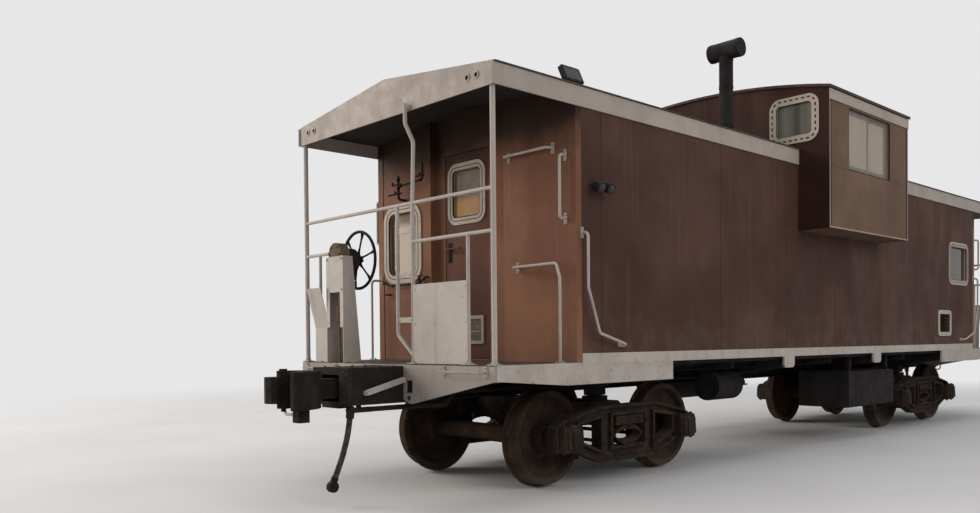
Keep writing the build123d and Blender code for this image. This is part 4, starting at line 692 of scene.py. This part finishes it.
def screwed(*kinds):
    """Screws around the frames of these windows."""
    form = Form()
    for kind in kinds:
        inset, size, count = SCREWS[kind]
        for p, _ in outline(kind, inset, FRAME_PROUD, count):
            form.rivet(p, WINDOWS[kind][2], size)
    return form


def frame_screws():
    screwed("end", "side", "vent").both_ends().finish("body_frame_screws", "car", cream, "white_paint")
    screwed("cupola", "cupola_back").both_sides().finish("cupola_frame_screws", "car", cream, "white_paint")


def woven(kind, margin, pitch, wire):
    """Two layers of flat wires that cross inside a frame, the upright ones next to the wall."""
    at, across, out, width, height, _, band = WINDOWS[kind]
    at, across, out, upright = Vector(at), Vector(across), Vector(out), Vector((0, 0, 1))
    wide, high = width - 2 * band - margin, height - 2 * band - margin
    form = Form()
    for i in range(int(wide / pitch) + 1):
        form.slab(at + across * (i * pitch - wide / 2) + out * 0.001, upright, out, high, wire, 0.002)
    for i in range(int(high / pitch) + 1):
        form.slab(at + upright * (i * pitch - high / 2) + out * 0.003, across, out, wide, wire, 0.002)
    return form, at, high


def vent_mesh():
    """Wire over the louvres of each side vent, with a bar up its middle."""
    form, at, high = woven("vent", margin=0.02, pitch=0.0135, wire=0.0022)
    form.slab(at + Vector((0.004, 0, 0)), (0, 0, 1), (1, 0, 0), high, 0.016, 0.005)
    form.both_ends().finish("vent_mesh", "car", black, "black_paint")


# Feet of the grab irons: the place on the wall or deck, the direction out and the direction of the flange
GRAB_FEET = (
    ((0.585, -BODY_Y, RAIL + 2.870), (0, -1, 0), (0, 0, 1)),
    ((1.110, -BODY_Y, RAIL + 2.870), (0, -1, 0), (0, 0, 1)),
    ((1.250, -BODY_Y, RAIL + 2.790), (0, -1, 0), (0, 0, 1)),
    ((1.250, -BODY_Y, RAIL + 2.270), (0, -1, 0), (0, 0, 1)),
    ((-BODY_X, -BODY_Y + 0.030, RAIL + 2.735), (-1, 0, 0), (0, 0, 1)),
    ((-BODY_X, -BODY_Y + 0.030, RAIL + 2.290), (-1, 0, 0), (0, 0, 1)),
    ((0.690, -BODY_Y, RAIL + 1.903), (0, -1, 0), (0, 0, 1)),
    ((-1.315, -BODY_Y - 0.006, RAIL + 1.903), (0, -1, 0), (0, 0, 1)),
    ((1.300, -BODY_Y - 0.135, DECK_Z), (0, 0, 1), (1, 0, 0)),
    ((-1.300, -BODY_Y - 0.135, DECK_Z), (0, 0, 1), (1, 0, 0)),
    ((BODY_X, -BODY_Y + 0.560, RAIL + 1.230), (1, 0, 0), (0, 1, 0)),
    ((-BODY_X, -BODY_Y + 0.560, RAIL + 1.230), (-1, 0, 0), (0, 1, 0)),
    ((BODY_X, -BODY_Y + 0.060, RAIL + 2.150), (1, 0, 0), (0, 0, 1)),
    ((-BODY_X, -BODY_Y + 0.060, RAIL + 2.150), (-1, 0, 0), (0, 0, 1)),
    ((0.780, -SILL_Y, RAIL + 1.035), (0, -1, 0), (0, 0, 1)),
    ((1.270, -SILL_Y, RAIL + 1.035), (0, -1, 0), (0, 0, 1)),
    ((-0.780, -SILL_Y, RAIL + 1.035), (0, -1, 0), (0, 0, 1)),
    ((-1.270, -SILL_Y, RAIL + 1.035), (0, -1, 0), (0, 0, 1)),
)
# Posts of the railings: the place across and the radius
POST_FEET = ((1.325, 0.021), (-1.325, 0.021), (0.345, 0.017), (1.035, 0.015), (-1.085, 0.015))
STAND_EDGES = (STAND_X[0] + 0.020, STAND_X[1] - 0.020)
# Heads on upright faces of the white ironwork: the kind, the distance of the face from the middle of the car, the
# size, the places across and the heights over the rail
WHITE_HEADS = (
    ("rivet", RAILING_Y + 0.005, 0.008, (0.170, 0.310), (2.200, 1.827, 1.454)),         # the ladder's rungs
    ("rivet", RAILING_Y + 0.019, 0.0075, (0.395, 1.020), (1.20, 1.42, 1.70)),           # the kick panel
    ("bolt", STAND_FRONT, 0.0085, STAND_EDGES, (1.755, 2.035)),                         # the stand's cover
    ("rivet", STAND_FRONT, 0.007, STAND_EDGES, (1.45, 1.60)),
)


def white_fittings():
    """Flanges, feet and bolts of the white ironwork on the ends."""
    form = Form()
    for at, out, along in GRAB_FEET:
        form.slab(at, along, out, 0.092, 0.034, 0.007)
        for step in (-0.031, 0.031):
            form.bolt(Vector(at) + Vector(along) * step + Vector(out) * 0.007, out, 0.0085)
    for x, radius in POST_FEET:
        form.slab((x, -RAILING_Y, DECK_Z), (1, 0, 0), (0, 0, 1), 0.110, 0.066, 0.007)
        form.collar((x, -RAILING_Y, DECK_Z + 0.007), (0, 0, 1), radius, 0.020, 0.004)
        for step in (-0.042, 0.042):
            form.bolt((x + step, -RAILING_Y, DECK_Z + 0.007), (0, 0, 1), 0.008)
    make = {"rivet": form.rivet, "bolt": form.bolt}
    for kind, y, size, places, heights in WHITE_HEADS:
        for x in places:
            for z in heights:
                make[kind]((x, -y, RAIL + z), (0, -1, 0), size)
    # Angle feet of the stand on the deck
    for x, side in ((STAND_X[0], -1), (STAND_X[1], 1)):
        form.slab((x + side * 0.018, -SILL_Y + 0.060, DECK_Z), (0, 1, 0), (0, 0, 1), 0.120, 0.036, 0.006)
        for y in (0.030, 0.090):
            form.bolt((x + side * 0.020, -SILL_Y + y, DECK_Z + 0.006), (0, 0, 1), 0.007)
    form.both_ends().finish("white_fittings", "car", white, "white_paint")


SOCKETS_X, SOCKETS_Z = (1.083, 1.187, -1.113, -1.218), RAIL + 3.275


def marker_sockets():
    """Paired sockets near the corners of each gable plate: a raised ring around a dark hole."""
    rings, holes = Form(), Form()
    for x in SOCKETS_X:
        at = Vector((x, -SILL_Y, SOCKETS_Z))
        rings.collar(at, (0, -1, 0), 0.019, 0.006, 0.011)
        holes.cone(at, (0, -1, 0), 0.0195, 0.0015, 20)
        holes.bolt(at + Vector((0, -0.001, 0)), (0, -1, 0), 0.007)
    rings.both_ends().finish("marker_socket_rings", "car", cream, "white_paint")
    holes.both_ends().finish("marker_socket_holes", "car", soot, "black_paint")


# Faces of the draft housings: their front, their flange beside it and their sides
HOUSING_Y, HOUSING_FLANGE_X, HOUSING_SIDE_X = 6.045, 0.215, 0.240
NO_RIVET = (5.965, 1.040)       # along and over the rail: on the right the white bolt takes this place
CASE_BOLTS, CASE_RING, CASE_Z = 8, 0.100, RAIL + 2.025


def dark_fittings():
    """Rivets and bolts of the draft housings and of the hand-brake gear."""
    form = Form()
    for x in (-HOUSING_FLANGE_X, HOUSING_FLANGE_X):
        for z in (0.800, 0.865, 0.930, 0.995, 1.045):
            form.rivet((x, -HOUSING_Y, RAIL + z), (0, -1, 0), 0.013)
    for side in (-1, 1):
        for y in (5.965, 5.875, 5.785, 5.695, 5.605):
            for z in (0.795, 1.040):
                if side < 0 or (y, z) != NO_RIVET:
                    form.rivet((side * HOUSING_SIDE_X, -y, RAIL + z), (side, 0, 0), 0.012)
        for y in (5.965, 5.830, 5.695, 5.560):
            form.rivet((side * 0.200, -y, RAIL + 1.068), (0, 0, 1), 0.012)
        form.bolt((side * 0.322, -SILL_Y, RAIL + 0.805), (0, -1, 0), 0.013)
    # Hand-brake gear: bolts around the round case, screws on its domed head
    for i in range(CASE_BOLTS):
        a = math.tau * (i + 0.5) / CASE_BOLTS
        form.bolt((STAND_MID + CASE_RING * math.cos(a), -SILL_Y + 0.190, CASE_Z + CASE_RING * math.sin(a)),
                  (0, 1, 0), 0.008)
    for dx, z in ((-0.082, 2.078), (0.082, 2.078), (-0.052, 2.142), (0.052, 2.142)):
        form.bolt((STAND_MID + dx, -STAND_FRONT + 0.006, RAIL + z), (0, -1, 0), 0.007)
    form.both_ends().finish("draft_gear_fasteners", "car", cast, "rusty_cast_steel")


LAMP_TILT = math.radians(25)
LAMP_DIR = Vector((math.cos(LAMP_TILT), 0, -math.sin(LAMP_TILT)))
ROOF_LAMP_DIR = Vector((math.cos(LAMP_TILT), 0, math.sin(LAMP_TILT)))
TWIN_LAMPS = [Vector((BODY_X + 0.075, y, RAIL + 2.530)) for y in (-4.375, -4.255)]
ROOF_LAMP = Vector((1.200, -4.435, RAIL + 3.477))
STACK_X, STACK_Y, STACK_CAP_Z = 0.750, -1.350, RAIL + 4.470


def lamp_and_stack_bands():
    """Rims of the twin lamps, and the foot, bands and cap joints of the smokestack."""
    form = Form()
    for at in TWIN_LAMPS:
        form.collar(at + LAMP_DIR * 0.028, LAMP_DIR, 0.0415, 0.014, 0.004)
    form.cone((STACK_X, STACK_Y, RAIL + 3.495), (0, 0, 1), 0.135, 0.050, 32, 0.080)
    for z in (3.62, 4.05, 4.36):
        form.collar((STACK_X, STACK_Y, RAIL + z), (0, 0, 1), 0.076, 0.022, 0.003)
    for side in (-1, 1):
        form.collar((STACK_X + side * 0.160 - 0.012, STACK_Y, STACK_CAP_Z), (1, 0, 0), 0.100, 0.024, 0.003)
    form.finish("stack_and_lamp_bands", "car", soot, "black_paint")


def lamp_lenses():
    form = Form()
    for at in TWIN_LAMPS:
        form.cone(at + LAMP_DIR * 0.040, LAMP_DIR, 0.036, 0.004, 24, 0.030)
    form.slab(ROOF_LAMP + ROOF_LAMP_DIR * 0.020, (0, 1, 0), ROOF_LAMP_DIR, 0.186, 0.112, 0.003)
    form.finish("lamp_lenses", "car", lamp_lens, "window_glass")


def white_housing_bolt():
    form = Form()
    form.bolt((HOUSING_SIDE_X, -6.018, RAIL + 0.982), (1, 0, 0), 0.015)
    form.both_ends().finish("housing_bolt", "car", white, "white_paint")


BAY_TOP = RAIL + 3.822


def cupola_strips():
    """Thin corner strips of the bays and the lap along their sides."""
    form = Form()
    low, high = CUP_Z0, BAY_TOP
    for y in (CUP_Y0 + 0.010, CUP_Y1 - 0.010):
        form.slab((CUP_X, y, (low + high) / 2), (0, 0, 1), (1, 0, 0), high - low, 0.016, 0.004)
    form.slab((CUP_X, CUPOLA_MID, low + 0.008), (0, 1, 0), (1, 0, 0), CUP_Y1 - CUP_Y0 - 0.04, 0.016, 0.004)
    form.both_sides().finish("cupola_corner_strips", "car", strip_paint, "faded_red_paint")


ROOF_RIBS = (-5.340, -4.120, -2.900, -1.680, 1.650, 2.870, 4.090, 5.310)
EAVE_X, EAVE_Z, RIDGE_Z = 1.387, RAIL + 3.345, RAIL + 3.508
ROOF_SCREWS, SCREW_PITCH = 18, 0.150


def roof_screws():
    """Rows of screws on both sides of each joint cover of the roof."""
    slope = (RIDGE_Z - EAVE_Z) / EAVE_X
    form = Form()
    for y in ROOF_RIBS:
        for i in range(ROOF_SCREWS):
            x = (i - (ROOF_SCREWS - 1) / 2) * SCREW_PITCH
            z = RIDGE_Z - abs(x) * slope
            for dy in (-0.036, 0.036):
                form.cone((x, y + dy, z - 0.0005), (math.copysign(slope, x), 0, 1), 0.008, 0.004, 8, 0.006)
    form.finish("roof_screws", "car", tar, "roof_paint")


# Distances from the middle line to the faces that the trucks' fasteners stand on
SIDE_FRAME_X, BOLSTER_END_X, SPRING_BAND_X = 1.050, 1.060, 1.043
BOX_MID_X, BOX_FACE_X, LID_PIN_X = 1.085, 1.125, 1.119
# Journal boxes: the axle's place in the truck, and from there to the box's top and bottom, its bolts and its pins
AXLE_Y, AXLE_Z = 0.840, RAIL + 0.419
BOX_TOP, BOX_BOTTOM, BOX_BOLT_Y, LID_PIN_Y, LID_PIN_Z = 0.115, -0.105, 0.090, 0.055, 0.112
COLUMN_BOLT_Y, BOLSTER_BOLT_Y = 0.248, 0.120
# Rows of rivets on a side frame's flanges, around the truck's middle: both ends (along, up), from the frame's edge
# to the rivets' line, and their number
FLANGE_RIVETS = (
    ((-0.860, 0.610), (-0.430, 0.701), -0.013, 5),
    ((0.430, 0.701), (0.860, 0.610), -0.013, 5),
    ((-0.400, 0.705), (0.400, 0.705), -0.013, 8),
    ((-0.370, 0.195), (0.370, 0.195), 0.013, 8),
    ((-0.740, 0.330), (-0.400, 0.205), 0.013, 4),
    ((0.400, 0.205), (0.740, 0.330), 0.013, 4),
)


def truck_fasteners():
    """Rivets of the side frames' flanges, bolts of columns, bolster, spring bands and boxes, and the lids' pins."""
    for end, s in ENDS:
        form = Form()
        for (y0, z0), (y1, z1), inward, count in FLANGE_RIVETS:
            for i in range(count):
                k = i / (count - 1)
                form.rivet((SIDE_FRAME_X, y0 + (y1 - y0) * k, z0 + (z1 - z0) * k + inward), (1, 0, 0), 0.0085)
        for side in (-1, 1):
            for z in (0.365, 0.450, 0.535):
                form.bolt((SIDE_FRAME_X, side * COLUMN_BOLT_Y, z), (1, 0, 0), 0.012)
            for z in (0.540, 0.580):
                form.bolt((BOLSTER_END_X, side * BOLSTER_BOLT_Y, z), (1, 0, 0), 0.012)
            for way in (-1, 1):
                y = side * AXLE_Y + way * BOX_BOLT_Y
                form.bolt((BOX_MID_X, y, AXLE_Z + BOX_TOP), (0, 0, 1), 0.016)
                form.bolt((BOX_MID_X, y, AXLE_Z + BOX_BOTTOM), (0, 0, -1), 0.016)
                form.rivet((BOX_FACE_X, y, AXLE_Z), (1, 0, 0), 0.010)
            for way in (-1, 1):
                y = side * AXLE_Y + way * LID_PIN_Y
                form.cone((LID_PIN_X, y, AXLE_Z + LID_PIN_Z), (0, way, 0), 0.014, 0.012, 12)
        for z in (0.352, 0.498):
            form.bolt((SPRING_BAND_X, 0, z), (1, 0, 0), 0.012)
        form.both_sides()
        bmesh.ops.translate(form.bm, verts=form.bm.verts, vec=(0, -TRUCK_Y, 0))
        form.finish(f"truck_fasteners_{end}", f"truck_{end}", cast, "rusty_cast_steel", s < 0)


LOCK_X, LOCK_Z, LOCK_THICK = DOOR_X - 0.245, RAIL + 2.150, 0.003


def door_fittings():
    """Lock plate, key cylinder, the screws of the window frame and louvre, and the wire over the louvre."""
    for end, s in ENDS:
        leaf, turn = f"door_leaf_{end}", s < 0
        form = Form()
        form.slab((LOCK_X, -DOOR_Y, LOCK_Z - 0.030), (0, 0, 1), (0, -1, 0), 0.190, 0.056, LOCK_THICK)
        form.cone((LOCK_X, -DOOR_Y - LOCK_THICK, LOCK_Z - 0.085), (0, -1, 0), 0.015, 0.010, 16, 0.013)
        for dz in (0.055, -0.115):
            form.rivet((LOCK_X, -DOOR_Y - LOCK_THICK, LOCK_Z + dz), (0, -1, 0), 0.005)
        form.finish(f"door_lock_{end}", leaf, soot, "black_paint", turn)
        screwed("door", "louvre").finish(f"door_screws_{end}", leaf, cream, "white_paint", turn)
        form, _, _ = woven("louvre", margin=0.0, pitch=0.0085, wire=0.0036)
        form.finish(f"door_louvre_mesh_{end}", leaf, mesh_paint, "white_paint", turn)


HUB = Vector((STAND_MID, -SILL_Y + 0.250, RAIL + 2.040))
SPOKES, SPOKE_R = 6, 0.0088
# On the hub's axis: the place along it, the radius, the depth, the sides and the radius at the top
HUB_PARTS = (
    (-0.016, 0.062, 0.014, 32, 0.056),
    (0.015, 0.030, 0.004, 20, None),
    (0.019, 0.022, 0.018, 6, None),
    (0.037, 0.011, 0.012, 14, None),
)


def hand_wheel_castings():
    """The hub's flange and nut, and the wider roots of the spokes at hub and rim."""
    for end, s in ENDS:
        form = Form()
        for along, radius, depth, sides, top in HUB_PARTS:
            form.cone(HUB + Vector((0, along, 0)), (0, 1, 0), radius, depth, sides, top)
        for i in range(SPOKES):
            a = math.tau * (i + 0.25) / SPOKES
            spoke = Vector((math.cos(a), 0, math.sin(a)))
            form.cone(HUB + spoke * 0.030 - Vector((0, 0.011, 0)), spoke, 0.019, 0.075, 14, SPOKE_R)
            form.cone(HUB + spoke * 0.258, -spoke, 0.0175, 0.060, 14, SPOKE_R)
        form.finish(f"hand_wheel_castings_{end}", f"hand_wheel_{end}", soot, "rusty_cast_steel", s < 0)


HIGH_PIPES_Y, LOW_PIPE_Y = BODY_Y + 0.090, BODY_Y + 0.038
# Unions and nuts of the pipes beside the end window: the distance from the middle of the car, the place across, the
# height over the rail, the axis, the radius, the length, the sides and the radius at the top
UP, ALONG = (0, 0, 1), (1, 0, 0)
UNIONS = (
    (HIGH_PIPES_Y, -0.905, 2.735, UP, 0.021, 0.020, 6, None),
    (HIGH_PIPES_Y, -0.905, 2.790, UP, 0.021, 0.020, 6, None),
    (HIGH_PIPES_Y, -0.905, 2.870, UP, 0.021, 0.020, 6, None),
    (HIGH_PIPES_Y, -0.880, 2.8173, ALONG, 0.018, 0.018, 6, None),
    (HIGH_PIPES_Y, -0.560, 2.83394, ALONG, 0.018, 0.018, 6, None),
    (HIGH_PIPES_Y, -1.000, 2.835, UP, 0.013, 0.030, 12, 0.009),
    (HIGH_PIPES_Y, -0.560, 2.875, UP, 0.013, 0.030, 12, 0.009),
    (HIGH_PIPES_Y, -0.960, 2.745, UP, 0.013, 0.030, 12, 0.009),
    (LOW_PIPE_Y, -1.090, 1.838, ALONG, 0.015, 0.016, 6, None),
    (LOW_PIPE_Y, -0.700, 1.838, ALONG, 0.015, 0.016, 6, None),
)


def pipe_unions():
    form = Form()
    for y, x, z, axis, radius, depth, sides, top in UNIONS:
        form.cone((x, -y, RAIL + z), axis, radius, depth, sides, top)
    form.both_ends().finish("pipe_unions", "car", soot, "black_paint")


for make in (window_seals, frame_screws, vent_mesh, white_fittings, marker_sockets, dark_fittings,
             lamp_and_stack_bands, lamp_lenses, white_housing_bolt, cupola_strips, roof_screws, truck_fasteners,
             door_fittings, hand_wheel_castings, pipe_unions):
    make()

# Studio: a pale floor that fades into a pale backdrop, a soft sky and broad lamps
BACKDROP = (0.80, 0.80, 0.81)
FADE_FROM, FADE_TO = 8.0, 19.0
FLOOR_HALF = 150
n = Nodes("floor", rough=0.9)
n.link(n.mix(n.patches(0.6, 0.3, 0.7, 4, 0.5), (0.62, 0.61, 0.60), (0.66, 0.65, 0.64)),
       n.shader.inputs["Base Color"])
distance = n.node("VectorMath", ((0, n.place),), operation="LENGTH").outputs["Value"]
seen = n.node("LightPath").outputs
glow = n.node("Emission", (("Color", BACKDROP),)).outputs[0]
ray = n.math("MAXIMUM", seen["Is Camera Ray"], seen["Is Glossy Ray"])
fade = n.times(n.step(distance, FADE_FROM, FADE_TO), ray)
faded_floor = n.node("MixShader", ((0, fade), (1, n.shader.outputs[0]), (2, glow))).outputs[0]
n.link(faded_floor, n.tree.nodes["Material Output"].inputs["Surface"])
bm = bmesh.new()
bmesh.ops.create_grid(bm, x_segments=2, y_segments=2, size=FLOOR_HALF)
floor_mesh = bpy.data.meshes.new("floor")
bm.to_mesh(floor_mesh)
bm.free()
floor_mesh.materials.append(n.mat)
floor = bpy.data.objects.new("floor", floor_mesh)
scene.collection.objects.link(floor)

world = bpy.data.worlds.new("world")
scene.world = world
world.use_nodes = True
tree = world.node_tree
sky = tree.nodes["Background"]
sky.inputs["Color"].default_value = (0.80, 0.82, 0.86, 1)
sky.inputs["Strength"].default_value = 0.55
backdrop = tree.nodes.new("ShaderNodeBackground")
backdrop.inputs["Color"].default_value = (*BACKDROP, 1)
paths = tree.nodes.new("ShaderNodeLightPath")
shown = paths.outputs["Is Camera Ray"]
for ray_kind in ("Is Glossy Ray", "Is Transmission Ray"):
    either = tree.nodes.new("ShaderNodeMath")
    either.operation = "MAXIMUM"
    tree.links.new(shown, either.inputs[0])
    tree.links.new(paths.outputs[ray_kind], either.inputs[1])
    shown = either.outputs[0]
choose = tree.nodes.new("ShaderNodeMixShader")
for source, target in zip((shown, sky.outputs[0], backdrop.outputs[0]), choose.inputs):
    tree.links.new(source, target)
tree.links.new(choose.outputs[0], tree.nodes["World Output"].inputs["Surface"])

# Lamps: the name, the place, what they point at, the size, the power and the colour
LAMPS = (
    ("key", (-22, -20, 14), (0, -3, 2), (15, 11), 5000, (1.0, 0.94, 0.87)),
    ("side", (15, -3, 8), (0, 0, 1.5), (12, 7), 720, (1.0, 0.98, 0.95)),
    ("low", (-15, -19, 3.2), (0, -4.5, 2.2), (11, 4), 900, (1.0, 0.86, 0.72)),
    ("top", (0, 0, 15), (0, 0, 0), (16, 10), 900, (1, 1, 1)),
)
for name, place, target, size, power, colour in LAMPS:
    data = bpy.data.lights.new(name, "AREA")
    data.shape = "RECTANGLE"
    data.size, data.size_y = size
    data.energy = power
    data.color = colour
    lamp = bpy.data.objects.new(name, data)
    lamp.location = place
    lamp.rotation_euler = (Vector(target) - Vector(place)).to_track_quat("-Z", "Y").to_euler()
    scene.collection.objects.link(lamp)

scene.view_settings.view_transform = "Standard"
